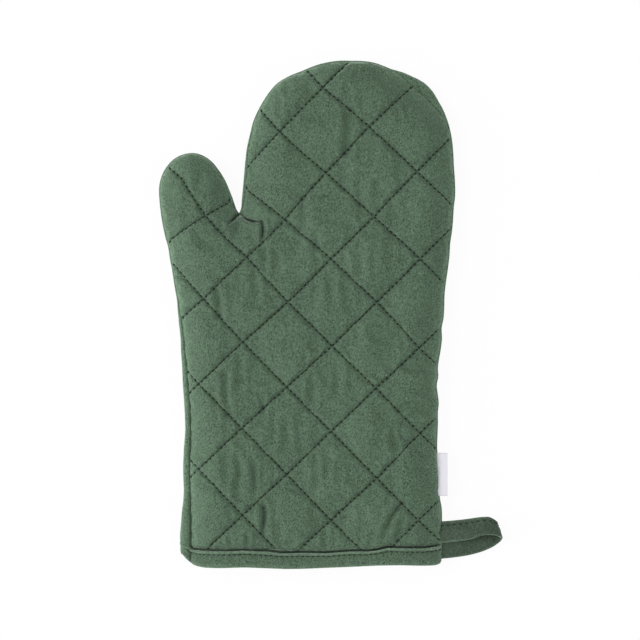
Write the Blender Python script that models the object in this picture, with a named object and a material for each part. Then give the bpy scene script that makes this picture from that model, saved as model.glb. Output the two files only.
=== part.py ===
"""A quilted oven glove lying flat on its back panel, thumb to the left, fingers towards +Y.

Two padded panels are sewn together round the sides and stay open at the cuff. Each panel has an
outer cloth, a wadding and a lining, quilted together in diamonds. A binding is folded over the
raw edges of the cuff, and a tape loop and a small bare label are caught in the right side seam.
Each layer is parted at two fold lines, so that the fingers and the thumb can bend upwards.
Lengths are in metres. The origin is under the middle of the whole glove, on the table.
"""

import math

import bmesh
import bpy
import numpy as np
from mathutils import Matrix, Vector
from mathutils.geometry import delaunay_2d_cdt

# Driving sizes of the glove
GLOVE_LENGTH = 0.300
GLOVE_WIDTH = 0.174
CUFF_WIDTH = 0.153
CUFF_SET_IN = 0.013
FRONT_RISE = 0.0112
BACK_RISE = 0.0098
FRONT_SHOULDER = 0.030
BACK_SHOULDER = 0.024
FLAT_CUT = 0.0005
CUFF_TAPER = 0.030

# Layers, from the outside in, and the clearances between neighbours
CLOTH_THICKNESS = 0.0008
WADDING_THICKNESS = 0.0034
LINING_THICKNESS = 0.0005
LAYER_GAP = 0.0003
SEAM_GAP = 0.0003
SEAM_ALLOWANCE = 0.0045
SLIT_WIDTH = 0.0004
FOLD_CLEARANCE = 0.0001

# Quilting: the distance between seams and how deep a seam pulls the cloth in
QUILT_PITCH = 0.0366
QUILT_DEPTH = 0.0028
QUILT_FADE = 0.007

# Cuff binding
BINDING_WIDTH = 0.0105
BINDING_THICKNESS = 0.0009
BINDING_GAP = 0.0003
BINDING_LINING_GAP = 0.0005

# Hanging loop, a folded tape
LOOP_REACH = 0.0350
LOOP_OPENING = 0.0150
LOOP_CENTRE_HEIGHT = 0.0165
LOOP_SHIFT = 0.0107
LOOP_CREEP = 0.0024
LOOP_FLOOR_GAP = 0.0003
TAPE_WIDTH = 0.0118
TAPE_THICKNESS = 0.0015
TAPE_GAP = 0.0003

# Side label, a folded ribbon without print
LABEL_LENGTH = 0.0255
LABEL_REACH = 0.0057
LABEL_THICKNESS = 0.0006
LABEL_CENTRE_HEIGHT = 0.0550
LABEL_GAP = 0.0005
LABEL_ROUND_STEPS = 2
ROUND_PROFILE_SHARE = 0.5

# Mesh spacing
OUTLINE_STEP = 0.0065
LATTICE_CLEARANCE = 0.0034
RING_INSET = 0.0110
STATION_STEP = 0.0125
LOOP_STEPS = 36
# Edges sharper than this stay sharp in the shading
SHARP_ANGLE = math.radians(40)

# Outline from the cuff's left side over the thumb and the fingers to its right side, as shares
# of the glove's width, from its left edge, and of its length, from the cuff's end
OUTLINE_SHARES = [
    (0.082, 0.252), (0.071, 0.439), (0.031, 0.617), (0.002, 0.716), (0.010, 0.785),
    (0.051, 0.813), (0.102, 0.819), (0.156, 0.808), (0.207, 0.771), (0.245, 0.728),
    (0.267, 0.702), (0.279, 0.726), (0.287, 0.781), (0.303, 0.854), (0.354, 0.923),
    (0.442, 0.971), (0.561, 0.997), (0.687, 1.000), (0.823, 0.978), (0.929, 0.935),
    (0.980, 0.864), (0.998, 0.765), (0.986, 0.651), (0.959, 0.499), (0.940, 0.331),
    (0.946, 0.173),
]
CROTCH_INDEX = 10
# One crossing of the quilting seams, as shares of the glove's width and length
QUILT_CROSSING_SHARES = (0.582, 0.437)
SHOULDER_SHARE = 0.62
# How round a quilted diamond is; the back's are pressed flat on the table
PUFF_SHARES = {"front": 0.42, "back": 0.19}
# How much closer to the side seam the back panel lies at the cuff, as a share of its rise
CUFF_SQUEEZE_SHARE = 0.195
# Grid lines across one diamond, as shares of the quilting's pitch, closer beside the front's seams
FINE_SHARES = {"front": (0.0, 0.1, 0.3, 0.5, 0.7, 0.9), "back": (0.0, 0.18, 0.5, 0.82)}
PLAIN_SHARES = (0.0, 0.5)

# The triangulation works in millimetres, where its tolerance is safe, and slightly stretched, so
# that of the two ways to split each grid cell one is always the shorter
CDT_SCALES = (1000.0, 1040.0)
CDT_TOLERANCE = 0.0001
SAME_PLACE = 0.00002

COLLECTION_NAME = "oven_glove"
ZONES = ("palm", "fingers", "thumb")
SIDES = {"front": 1.0, "back": -1.0}

# Places that follow from the sizes; x runs from the glove's left edge until it is centred
cuff_left = CUFF_SET_IN
cuff_right = CUFF_SET_IN + CUFF_WIDTH
binding_reach = BINDING_GAP + BINDING_THICKNESS
loop_root_x = cuff_right + binding_reach + TAPE_GAP
overall_width = loop_root_x + LOOP_REACH
cloth_end = binding_reach
band_top = cloth_end + BINDING_WIDTH + BINDING_GAP
edge_rise = SEAM_GAP / 2 + CLOTH_THICKNESS
lining_depth = CLOTH_THICKNESS + LAYER_GAP + WADDING_THICKNESS + LAYER_GAP + LINING_THICKNESS
seam_height = BACK_RISE - FLAT_CUT
origin = Vector((overall_width / 2, GLOVE_LENGTH / 2, 0))


def clear_scene():
    for item in list(bpy.data.objects):
        bpy.data.objects.remove(item, do_unlink=True)


def make_material(name, colour, roughness):
    material = bpy.data.materials.new(name)
    material.use_nodes = True
    shader = material.node_tree.nodes["Principled BSDF"]
    shader.inputs["Base Color"].default_value = (*colour, 1.0)
    shader.inputs["Roughness"].default_value = roughness
    shader.inputs["Metallic"].default_value = 0.0
    return material


def smooth_through(points, step):
    """Points about a step apart on a smooth open curve through the given points."""
    points = [np.array(point) for point in points]
    ends = [2 * points[0] - points[1], *points, 2 * points[-1] - points[-2]]
    result = []
    for before, start, end, after in zip(ends, ends[1:], ends[2:], ends[3:]):
        knots = [0.0]
        for a, b in ((before, start), (start, end), (end, after)):
            knots.append(knots[-1] + math.sqrt(np.linalg.norm(b - a)))
        count = max(1, round(np.linalg.norm(end - start) / step))
        for i in range(count):
            t = knots[1] + (knots[2] - knots[1]) * i / count
            blended = [before, start, end, after]
            for level in (1, 2, 3):
                low = [knots[max(k, 1) if level == 3 else k] for k in range(4 - level)]
                high = [knots[min(k + level, 2) if level == 3 else k + level] for k in range(4 - level)]
                blended = [
                    (blended[k] * (high[k] - t) + blended[k + 1] * (t - low[k])) / (high[k] - low[k])
                    for k in range(4 - level)
                ]
            result.append(blended[0])
    result.append(points[-1])
    return np.array(result)


def distance_to(curve, points):
    """Distance of each point from an open curve of straight pieces."""
    starts, along = curve[:-1], np.diff(curve, axis=0)
    offset = points[:, None, :] - starts[None, :, :]
    share = (offset * along).sum(2) / (along * along).sum(1)
    nearest = starts + np.clip(share, 0, 1)[:, :, None] * along
    return np.linalg.norm(points[:, None, :] - nearest, axis=2).min(1)


def inside(polygon, points):
    """True for each point inside a closed polygon."""
    x, y = points[:, 0, None], points[:, 1, None]
    start, end = polygon, np.roll(polygon, -1, axis=0)
    crosses = (start[:, 1] > y) != (end[:, 1] > y)
    with np.errstate(divide="ignore", invalid="ignore"):
        at = start[:, 0] + (y - start[:, 1]) * (end[:, 0] - start[:, 0]) / (end[:, 1] - start[:, 1])
    return ((crosses & (x < at)).sum(1) % 2).astype(bool)


def inset(curve, distance):
    """The open curve moved to its right, which is into the glove; it stays upright at the cuff."""
    along = np.gradient(curve, axis=0)
    along /= np.linalg.norm(along, axis=1)[:, None]
    along[:2] = (0, 1)
    along[-2:] = (0, -1)
    return curve + distance * np.stack([along[:, 1], -along[:, 0]], axis=1)


def side_outline():
    shares = [np.array(pair) * (GLOVE_WIDTH, GLOVE_LENGTH) for pair in OUTLINE_SHARES]
    curve = smooth_through([(cuff_left, band_top), *shares, (cuff_right, band_top)], OUTLINE_STEP)
    return np.vstack([[(cuff_left, cloth_end)], curve, [(cuff_right, cloth_end)]])


clear_scene()
side_curve = side_outline()
seam_curve = inset(side_curve, SEAM_ALLOWANCE)
ring_curve = inset(side_curve, RING_INSET)
crotch = np.array(OUTLINE_SHARES[CROTCH_INDEX]) * (GLOVE_WIDTH, GLOVE_LENGTH)


def shoulder(shares):
    """Unit profile of a panel's rounded edge: steep at the seam and level at 1."""
    return (1 - (1 - np.clip(shares, 0, 1)) ** 2) ** SHOULDER_SHARE


def smooth_height(side, points, pulled=0.0):
    """Height of the outer cloth above the side seam; the back is cut flat where it rests."""
    distance = distance_to(side_curve, points)
    if side == "front":
        return edge_rise + (FRONT_RISE - edge_rise) * shoulder(distance / FRONT_SHOULDER) - pulled
    near_cuff = 1 - np.clip((points[:, 1] - band_top) / CUFF_TAPER, 0, 1)
    squeeze = 1 - CUFF_SQUEEZE_SHARE * near_cuff ** 2 * (3 - 2 * near_cuff)
    height = edge_rise + (BACK_RISE - edge_rise) * squeeze * shoulder(distance / BACK_SHOULDER)
    return np.minimum(height - pulled, BACK_RISE - FLAT_CUT)


def quilted_height(side, points):
    """Height of the outer cloth, pulled in along two sets of crossing seams."""
    crossing = np.array(QUILT_CROSSING_SHARES) * (GLOVE_WIDTH, GLOVE_LENGTH)
    x, y = (points - crossing).T
    across = (x + y) / math.sqrt(2) / QUILT_PITCH
    along = (x - y) / math.sqrt(2) / QUILT_PITCH
    puff = np.abs(np.sin(math.pi * across) * np.sin(math.pi * along)) ** PUFF_SHARES[side]
    distance = distance_to(side_curve, points)
    fade = np.clip(distance / QUILT_FADE, 0, 1) * np.clip((points[:, 1] - band_top) / QUILT_FADE, 0, 1)
    return smooth_height(side, points, QUILT_DEPTH * (1 - puff) * fade)


def lining_height(side, points):
    """Height of the lining's inner face, which meets the other lining near the side seam."""
    return np.maximum(SEAM_GAP / 2, smooth_height(side, points) - lining_depth)


# Fold lines run from the crotch: the thumb's down to the left, the fingers' to the right
FOLDS = {
    "thumb": {"along": np.array((-1, -1)) / math.sqrt(2), "outward": np.array((-1, 1)) / math.sqrt(2)},
    "fingers": {"along": np.array((1.0, 0.0)), "outward": np.array((0.0, 1.0))},
}


def beyond_fold(zone, points):
    """Distance past a fold line, and distance along it from the crotch."""
    offset = points - crotch
    return offset @ FOLDS[zone]["outward"], offset @ FOLDS[zone]["along"]


def zone_of(centres):
    """Index into ZONES for each triangle, or -1 in the slits."""
    zones = np.zeros(len(centres), int)
    right_of_crotch = centres[:, 0] > crotch[0]
    for index, zone in enumerate(ZONES[1:], 1):
        past = beyond_fold(zone, centres)[0]
        on_side = right_of_crotch if zone == "fingers" else ~right_of_crotch
        zones[on_side & (past > SLIT_WIDTH / 2)] = index
        zones[on_side & (np.abs(past) <= SLIT_WIDTH / 2)] = -1
    return zones


def stations(start, end):
    count = max(1, round((end - start) / STATION_STEP))
    return [start + (end - start) * i / count for i in range(count + 1)]


cuff_stations = np.array([
    cuff_left, cuff_left + SEAM_ALLOWANCE,
    *stations(cuff_left + RING_INSET, cuff_right - RING_INSET),
    cuff_right - SEAM_ALLOWANCE, cuff_right,
])


def slit_lines():
    """Both edges of each slit, from just outside the crotch to beyond the glove's edge."""
    lines = []
    reach = {"thumb": GLOVE_WIDTH / 2, "fingers": GLOVE_WIDTH}
    for zone, fold in FOLDS.items():
        places = [-SLIT_WIDTH, *stations(SEAM_ALLOWANCE, reach[zone])]
        for side in (-1, 1):
            shift = crotch + fold["outward"] * side * SLIT_WIDTH / 2
            lines.append(np.array([shift + fold["along"] * place for place in places]))
    return lines


def lattice(shares, clear_of):
    """Points of the quilting's grid inside the glove, clear of its edges and slits."""
    crossing = np.array(QUILT_CROSSING_SHARES) * (GLOVE_WIDTH, GLOVE_LENGTH)
    count = math.ceil((GLOVE_LENGTH + GLOVE_WIDTH) / QUILT_PITCH)
    steps = np.concatenate([np.arange(-count, count + 1) + share for share in shares])
    first, second = (grid.ravel() * QUILT_PITCH for grid in np.meshgrid(steps, steps))
    points = crossing + np.stack([first + second, first - second], axis=1) / math.sqrt(2)
    keep = inside(ring_curve, points) & (points[:, 1] > band_top + LATTICE_CLEARANCE)
    points = points[keep]
    for curve in clear_of:
        points = points[distance_to(curve, points) > LATTICE_CLEARANCE]
    return points


def triangulate(shares, edge_curves):
    """Triangles between the outermost curve and the cuff, with each one's zone."""
    points, edges = [], []

    def add_line(line):
        first = len(points)
        points.extend(line)
        edges.extend((first + i, first + i + 1) for i in range(len(line) - 1))

    outer = edge_curves[0]
    low, high = outer[0][0], outer[-1][0]
    row = cuff_stations[(cuff_stations >= low - SAME_PLACE) & (cuff_stations <= high + SAME_PLACE)]
    for curve in edge_curves:
        add_line(curve)
    for height in (cloth_end, band_top):
        add_line([(x, height) for x in row])
    slits = slit_lines()
    for line in slits:
        add_line(line)
    ring = ring_curve[ring_curve[:, 1] > band_top + LATTICE_CLEARANCE]
    for line in slits:
        ring = ring[distance_to(line, ring) > SEAM_ALLOWANCE / 2]
    points.extend(ring)
    points.extend(lattice(shares, [ring_curve, *slits]))
    flat = [Vector(point) for point in np.array(points) * CDT_SCALES]
    found = delaunay_2d_cdt(flat, edges, [], 0, CDT_TOLERANCE)
    vertices = np.array([tuple(vertex) for vertex in found[0]]) / CDT_SCALES
    faces = np.array([face for face in found[2] if len(face) == 3])
    corners = vertices[faces]
    first, second = corners[:, 1] - corners[:, 0], corners[:, 2] - corners[:, 0]
    turned = first[:, 0] * second[:, 1] - first[:, 1] * second[:, 0] < 0
    faces[turned] = faces[turned][:, ::-1]
    centres = corners.mean(axis=1)
    zones = zone_of(centres)
    zones[~inside(outer, centres)] = -1
    return {"vertices": vertices, "faces": faces, "centres": centres, "zones": zones}


def largest_patch(faces):
    """The largest group of triangles that share edges."""
    owner = {}
    for index, face in enumerate(faces):
        for a, b in zip(face, np.roll(face, -1)):
            owner.setdefault(frozenset((int(a), int(b))), []).append(index)
    links = {index: set() for index in range(len(faces))}
    for group in owner.values():
        for index in group:
            links[index].update(group)
    left, best = set(links), []
    while left:
        stack, patch = [left.pop()], []
        while stack:
            index = stack.pop()
            patch.append(index)
            fresh = links[index] & left
            left -= fresh
            stack.extend(fresh)
        if len(patch) > len(best):
            best = patch
    return faces[sorted(best)]


def edge_loop(faces):
    """Directed edges that only one triangle has."""
    edges = {(int(a), int(b)) for face in faces for a, b in zip(face, np.roll(face, -1))}
    return [edge for edge in sorted(edges) if edge[::-1] not in edges]


def layer_body(top_net, top_heights, bottom_net, bottom_heights):
    """A closed solid between two triangulated faces that end on the same outline."""
    top_faces, bottom_faces = top_net["picked"], bottom_net["picked"]
    vertices, top_index, bottom_index = [], {}, {}

    def add(net, heights, faces, index):
        for old in np.unique(faces):
            index[int(old)] = len(vertices)
            vertices.append((*net["vertices"][old], heights[old]))

    add(top_net, top_heights, top_faces, top_index)
    add(bottom_net, bottom_heights, bottom_faces, bottom_index)
    faces = [tuple(top_index[int(i)] for i in face) for face in top_faces]
    faces += [tuple(bottom_index[int(i)] for i in reversed(face)) for face in bottom_faces]
    rim = sorted({a for edge in edge_loop(bottom_faces) for a in edge})
    rim_places = bottom_net["vertices"][rim]

    def below(index):
        gaps = np.linalg.norm(rim_places - top_net["vertices"][index], axis=1)
        return bottom_index[rim[int(gaps.argmin())]]

    for a, b in edge_loop(top_faces):
        faces.append((below(a), below(b), top_index[b]))
        faces.append((below(a), top_index[b], top_index[a]))
    return vertices, faces


def add_object(name, vertices, faces, material, pivot, parent=None):
    """A mesh object whose origin is its pivot, or its parent empty's place."""
    mesh = bpy.data.meshes.new(name)
    shift = origin + pivot
    mesh.from_pydata([Vector(vertex) - shift for vertex in vertices], [], faces)
    work = bmesh.new()
    work.from_mesh(mesh)
    bmesh.ops.recalc_face_normals(work, faces=work.faces)
    work.to_mesh(mesh)
    work.free()
    mesh.shade_smooth()
    mesh.set_sharp_from_angle(angle=SHARP_ANGLE)
    mesh.materials.append(material)
    item = bpy.data.objects.new(name, mesh)
    parts.objects.link(item)
    if parent is None:
        item.location = pivot
    else:
        item.parent = parent
    return item


def add_axis(name, place):
    axis = bpy.data.objects.new(name, None)
    axis.empty_display_size = SEAM_ALLOWANCE
    axis.location = place
    parts.objects.link(axis)
    return axis


parts = bpy.data.collections.new(COLLECTION_NAME)
bpy.context.scene.collection.children.link(parts)
materials = {
    "cloth": make_material("green_cotton", (0.087, 0.133, 0.089), 0.92),
    "wadding": make_material("white_wadding", (0.80, 0.79, 0.75), 0.95),
    "lining": make_material("green_lining", (0.080, 0.122, 0.082), 0.92),
    "binding": make_material("green_binding", (0.083, 0.126, 0.085), 0.92),
    "tape": make_material("green_tape", (0.058, 0.086, 0.058), 0.92),
    "label": make_material("white_ribbon", (0.82, 0.81, 0.80), 0.55),
}

full_nets = {side: triangulate(FINE_SHARES[side], [side_curve, seam_curve]) for side in SIDES}
plain_net = triangulate(PLAIN_SHARES, [seam_curve])


def pick(net, zone):
    chosen = net["faces"][net["zones"] == ZONES.index(zone)]
    return {**net, "picked": largest_patch(chosen)}


def fold_place(zone):
    """A point on the fold's axis: over the middle of the fold line, above the cloth it lifts."""
    net = pick(full_nets["front"], zone)
    moved = np.unique(net["picked"])
    top = quilted_height("front", net["vertices"][moved]).max()
    past, along = beyond_fold(zone, net["vertices"][moved])
    near = along[past < SLIT_WIDTH]
    middle = crotch + FOLDS[zone]["along"] * (near.min() + near.max()) / 2
    return Vector((*middle, seam_height + top + FOLD_CLEARANCE)) - origin


axes = {"palm": None}
for zone in FOLDS:
    axes[zone] = add_axis(zone + "_fold_axis", fold_place(zone))


def add_layer(side, layer, zone, top_net, top_height, bottom_net, bottom_height):
    """Heights count from the side seam, up on the front panel and down on the back one."""
    sign = SIDES[side]
    upper = (pick(top_net, zone), seam_height + sign * top_height)
    lower = (pick(bottom_net, zone), seam_height + sign * bottom_height)
    if sign < 0:
        upper, lower = lower, upper
    vertices, faces = layer_body(*upper, *lower)
    axis = axes[zone]
    pivot = Vector((0, 0, 0)) if axis is None else axis.location
    add_object(f"{side}_{layer}_{zone}", vertices, faces, materials[layer], pivot, axis)


def add_panel(side):
    """Cloth, wadding and lining of one panel, each parted at the two folds."""
    full_net = full_nets[side]
    within = inside(seam_curve, full_net["centres"])
    core_net = {**full_net, "zones": np.where(within, full_net["zones"], -1)}
    cloth_top = quilted_height(side, full_net["vertices"])
    wadding_top = cloth_top - CLOTH_THICKNESS - LAYER_GAP
    lining_inner = lining_height(side, plain_net["vertices"])
    lining_outer = lining_inner + LINING_THICKNESS
    for zone in ZONES:
        add_layer(side, "cloth", zone, full_net, cloth_top, full_net, cloth_top - CLOTH_THICKNESS)
        add_layer(side, "wadding", zone, core_net, wadding_top, plain_net, lining_outer + LAYER_GAP)
        add_layer(side, "lining", zone, plain_net, lining_outer, plain_net, lining_inner)


def offset_polygon(polygon, distance):
    """A closed polygon moved outwards; its corners turn clockwise seen from the cuff's end."""
    before, after = np.roll(polygon, 1, axis=0), np.roll(polygon, -1, axis=0)
    along = (after - before) / np.linalg.norm(after - before, axis=1)[:, None]
    return polygon + distance * np.stack([-along[:, 1], along[:, 0]], axis=1)


def add_binding():
    """A ring whose section is a U over the raw edge of both panels."""
    count = len(cuff_stations)
    row = np.stack([cuff_stations, np.full(count, cloth_end)], axis=1)
    cloth = {side: smooth_height(side, row) for side in SIDES}
    free = {side: lining_height(side, row) - BINDING_LINING_GAP for side in SIDES}

    def mouth(side, x):
        return np.interp(x, cuff_stations, free[side])

    def closed(heights, x):
        front, back = (np.stack([x, SIDES[side] * heights[side]], axis=1) for side in SIDES)
        return np.vstack([front, back[::-1]])

    def inner(start, thickness):
        x = np.linspace(cuff_left + start, cuff_right - start, count)
        return closed({side: mouth(side, x) - thickness for side in SIDES}, x)

    widened = cuff_stations.copy()
    widened[0] -= BINDING_GAP
    widened[-1] += BINDING_GAP
    over_cloth = closed({side: cloth[side] + BINDING_GAP for side in SIDES}, widened)
    outside = offset_polygon(over_cloth, BINDING_THICKNESS)
    near_lining = inner(RING_INSET, 0)
    innermost = inner(RING_INSET + BINDING_THICKNESS, BINDING_THICKNESS)
    top = cloth_end + BINDING_WIDTH
    fold = cloth_end - BINDING_GAP
    rings = [
        (outside, top), (outside, BINDING_THICKNESS), ((outside + over_cloth) / 2, 0),
        ((innermost + near_lining) / 2, 0), (innermost, BINDING_THICKNESS), (innermost, top),
        (near_lining, top), (near_lining, fold), (over_cloth, fold), (over_cloth, top),
    ]
    vertices = [(x, y, seam_height + z) for polygon, y in rings for x, z in polygon]
    around = 2 * count
    faces = []
    for ring in range(len(rings)):
        following = (ring + 1) % len(rings)
        for i in range(around):
            j = (i + 1) % around
            faces.append((
                ring * around + i, ring * around + j, following * around + j, following * around + i
            ))
    add_object("cuff_binding", vertices, faces, materials["binding"], Vector((0, 0, 0)))


def loop_centre(angle, droop):
    """Middle line of the tape: out above, round the fold and back below, on a slant."""
    out = (1 - math.cos(angle)) / 2
    reach = LOOP_REACH - TAPE_THICKNESS / 2
    lift = LOOP_OPENING / 2 * math.sin(angle) * out
    lift += (TAPE_THICKNESS + TAPE_GAP) / 2 * math.cos(angle / 2)
    flat = Vector((reach * out, 0, lift))
    flat.rotate(Matrix.Rotation(droop, 3, "Y"))
    slide = LOOP_SHIFT / 2 * math.cos(angle / 2) + LOOP_CREEP * out
    return Vector((flat.x, slide, flat.z))


def loop_stations(droop):
    angles = [2 * math.pi * i / LOOP_STEPS for i in range(LOOP_STEPS + 1)]
    return [loop_centre(angle, droop) for angle in angles]


def add_loop():
    """A flat tape that leaves the seam, folds back under itself and returns to the seam.

    It hangs down from its root until its lower side lies on the table, and it turns about the
    root's upper edge.
    """
    lowest = min(loop_stations(0), key=lambda place: place.z)
    spare = seam_height + lowest.z - TAPE_THICKNESS / 2 - LOOP_FLOOR_GAP
    places = loop_stations(math.asin(spare / lowest.x))
    root = Vector((loop_root_x, LOOP_CENTRE_HEIGHT, seam_height))
    pivot = root + Vector((0, 0, TAPE_THICKNESS + TAPE_GAP / 2))
    vertices, faces = [], []
    for i, place in enumerate(places):
        before, after = places[max(i - 1, 0)], places[min(i + 1, LOOP_STEPS)]
        along = (after - before).normalized()
        across = (Vector((0, 1, 0)) - along * along.y).normalized()
        if i in (0, LOOP_STEPS):
            along, across = Vector((1 if i == 0 else -1, 0, 0)), Vector((0, 1, 0))
        normal = along.cross(across)
        middle = root + place
        for side, face in ((-1, -1), (1, -1), (1, 1), (-1, 1)):
            corner = middle + across * side * TAPE_WIDTH / 2 + normal * face * TAPE_THICKNESS / 2
            vertices.append(corner)
    for i in range(LOOP_STEPS):
        for k in range(4):
            j = (k + 1) % 4
            faces.append((4 * i + k, 4 * i + j, 4 * i + 4 + j, 4 * i + 4 + k))
    faces.append((0, 1, 2, 3))
    faces.append(tuple(4 * LOOP_STEPS + k for k in range(4)))
    add_object("hanging_loop", vertices, faces, materials["tape"], pivot - origin)


def edge_right(low, high):
    """The glove's right edge between two heights."""
    right = side_curve[side_curve[:, 0] > crotch[0]]
    heights = np.linspace(low, high, LOOP_STEPS)
    order = np.argsort(right[:, 1])
    return np.interp(heights, right[order, 1], right[order, 0]).max()


def add_label():
    """A folded ribbon that stands out of the side seam."""
    low, high = LABEL_CENTRE_HEIGHT - LABEL_LENGTH / 2, LABEL_CENTRE_HEIGHT + LABEL_LENGTH / 2
    root = Vector((edge_right(low, high) + LABEL_GAP, LABEL_CENTRE_HEIGHT, seam_height))
    mesh = bpy.data.meshes.new("side_label")
    work = bmesh.new()
    bmesh.ops.create_cube(work, size=1)
    bmesh.ops.scale(work, vec=(LABEL_REACH, LABEL_LENGTH, LABEL_THICKNESS), verts=work.verts)
    bmesh.ops.translate(work, vec=(LABEL_REACH / 2, 0, 0), verts=work.verts)
    fold = [
        edge for edge in work.edges
        if all(vertex.co.x > LABEL_REACH / 2 for vertex in edge.verts)
        and abs(edge.verts[0].co.y - edge.verts[1].co.y) > LABEL_LENGTH / 2
    ]
    bmesh.ops.bevel(
        work, geom=fold, offset=LABEL_THICKNESS / 3, segments=LABEL_ROUND_STEPS,
        affect="EDGES", profile=ROUND_PROFILE_SHARE,
    )
    work.to_mesh(mesh)
    work.free()
    mesh.materials.append(materials["label"])
    item = bpy.data.objects.new("side_label", mesh)
    item.location = root - origin
    parts.objects.link(item)


for panel in SIDES:
    add_panel(panel)
add_binding()
add_loop()
add_label()
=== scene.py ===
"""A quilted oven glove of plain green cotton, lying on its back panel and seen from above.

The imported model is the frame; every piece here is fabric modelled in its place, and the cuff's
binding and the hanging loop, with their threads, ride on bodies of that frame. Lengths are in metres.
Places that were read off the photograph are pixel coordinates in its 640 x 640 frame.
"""

import math

import bmesh
import bpy
import numpy as np
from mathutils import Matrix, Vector, noise
from mathutils.geometry import delaunay_2d_cdt


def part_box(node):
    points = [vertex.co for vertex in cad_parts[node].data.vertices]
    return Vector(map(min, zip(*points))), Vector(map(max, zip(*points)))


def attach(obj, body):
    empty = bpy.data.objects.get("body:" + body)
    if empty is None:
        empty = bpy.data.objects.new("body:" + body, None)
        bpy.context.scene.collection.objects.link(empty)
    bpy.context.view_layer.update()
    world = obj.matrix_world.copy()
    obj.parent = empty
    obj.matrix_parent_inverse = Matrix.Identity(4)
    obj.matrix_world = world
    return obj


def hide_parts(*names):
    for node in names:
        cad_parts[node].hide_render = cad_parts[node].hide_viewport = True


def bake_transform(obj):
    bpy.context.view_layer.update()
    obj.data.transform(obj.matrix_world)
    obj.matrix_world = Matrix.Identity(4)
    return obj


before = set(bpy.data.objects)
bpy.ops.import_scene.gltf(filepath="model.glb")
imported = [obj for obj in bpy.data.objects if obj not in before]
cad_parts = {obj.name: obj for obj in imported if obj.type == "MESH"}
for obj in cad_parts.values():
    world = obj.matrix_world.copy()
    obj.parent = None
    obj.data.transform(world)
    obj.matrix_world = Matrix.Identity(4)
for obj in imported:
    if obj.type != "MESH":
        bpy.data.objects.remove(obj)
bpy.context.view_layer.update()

MM = 0.001

# The photograph's frame: rows of the fingertips and the cuff's end, and the thumb's left column
FOOT_ROW = 567.5
TIP_ROW = 61.0
LEFT_COLUMN = 159.9
PHOTO_CENTRE = (320.0, 320.0)
PHOTO_SIZE = 640

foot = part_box("cuff_binding")[0].y
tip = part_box("front_cloth_fingers")[1].y
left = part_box("front_cloth_thumb")[0].x
PIXEL = (tip - foot) / (FOOT_ROW - TIP_ROW)

# Edge of the front panel, from the cuff up the left side over the thumb to the crotch
THUMB_EDGE = [
    (190.5, 552), (190.5, 535), (190.2, 512), (189.8, 490), (189.2, 470), (189.9, 450), (190.1, 430),
    (189.6, 408), (187.6, 384), (186.2, 366), (184.4, 350), (183.0, 334), (181.0, 319), (179.0, 309),
    (178.2, 302), (176.6, 293), (174.6, 281), (172.6, 268), (170.8, 259), (169.2, 248), (166.2, 237),
    (163.4, 224), (161.3, 210), (160.0, 196), (160.0, 186), (162.6, 175.5), (166.6, 168),
    (172.6, 161), (179.4, 156.6), (187, 154.2), (195, 153.9), (203, 156.6), (210.5, 161.8),
    (216.6, 169.2), (222.6, 179.6), (228, 192), (233, 204.6), (236, 211), (239, 214.5),
]
# From the crotch over the fingers down the right side to the cuff
FINGER_EDGE = [
    (239, 214.5), (242, 209), (243.6, 201), (244.8, 190), (246, 176), (247.4, 160), (249, 146),
    (251.2, 134), (253.8, 122.5), (258.2, 112), (264, 101.5), (270.5, 91.8), (277.5, 84),
    (286, 78.4), (294, 74.6), (301.5, 71.8), (309, 68.6), (318, 65.2), (328, 62.8), (340, 61.2),
    (351, 61.3), (362, 61.5), (374, 63.2), (384, 66.8), (391, 70.4), (397.6, 73.6), (404.4, 78.8),
    (410.6, 84.6), (419.3, 91.2), (426, 97), (432.3, 104), (438.8, 111), (444.3, 118.4), (448.4, 127),
    (450.8, 137), (452.3, 150), (453.1, 166), (454.2, 182), (454.3, 196), (453, 207), (452.4, 217),
    (451.2, 231), (449.4, 243), (448.6, 256), (446.9, 270), (445.0, 283), (443.8, 294), (443.4, 308),
    (442.6, 319), (440.9, 327), (441.1, 339), (439.6, 351), (437.6, 363), (437.0, 369.5),
    (437.5, 376), (435.9, 385), (437.0, 395), (437.9, 404), (437.1, 411), (437.1, 423),
    (436.6, 437), (436.3, 448), (437.6, 461), (438.6, 478), (438.6, 491), (439.0, 497.5),
    (440.8, 508), (441.2, 524), (441.0, 540), (440.6, 552),
]
# How far the back panel stands out past the front one, in pixels: by row down the left side, by
# column over the fingertips, and by row beside the crotch
LEFT_SPREADS = [
    (296, -0.3), (310, 0.8), (322, 2.2), (340, 2.4), (352, 3.2), (368, 3.9), (384, 4.6), (408, 5.0),
    (430, 4.6), (450, 6.1), (470, 6.0), (490, 5.9), (500, 6.6), (512, 8.6), (536, 10.8), (552, 10.1),
]
TIP_SPREADS = [
    (380, -0.3), (391, 0.9), (397.6, 2.6), (404, 5.8), (411, 9.4), (419, 10.6), (426, 9.4), (432, 7.4),
    (439, 4.6), (444, 2.0), (450, -0.3),
]
CROTCH_SPREADS = [(125, -0.3), (150, 1.2), (200, 1.3), (212, -0.3)]
THUMB_SPREADS = [(165, -0.3), (180, 1.0), (200, 1.0), (212, -0.3)]
PLAIN_SPREAD = -0.3
FINGERTIP_ROWS = 130
# Where it stands out, its rim and the side seam hang lower, by these shares of the spread
SEAM_DROP, RIM_DROP = 0.30, 0.78

# Crossings of the quilting seams
CROSSINGS = [
    (323, 88), (416, 83), (280, 132), (369, 127), (326, 173), (417, 172), (285, 220), (374, 217),
    (206, 216), (247, 257), (331, 259), (420, 259), (204, 299), (288, 302), (377, 302), (243, 342),
    (332, 346), (419, 348), (199, 384), (287, 387), (376, 388), (242, 428), (331, 431), (420, 433),
    (199, 469), (287, 474), (377, 478), (243, 515), (331, 520), (418, 520),
]
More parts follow.
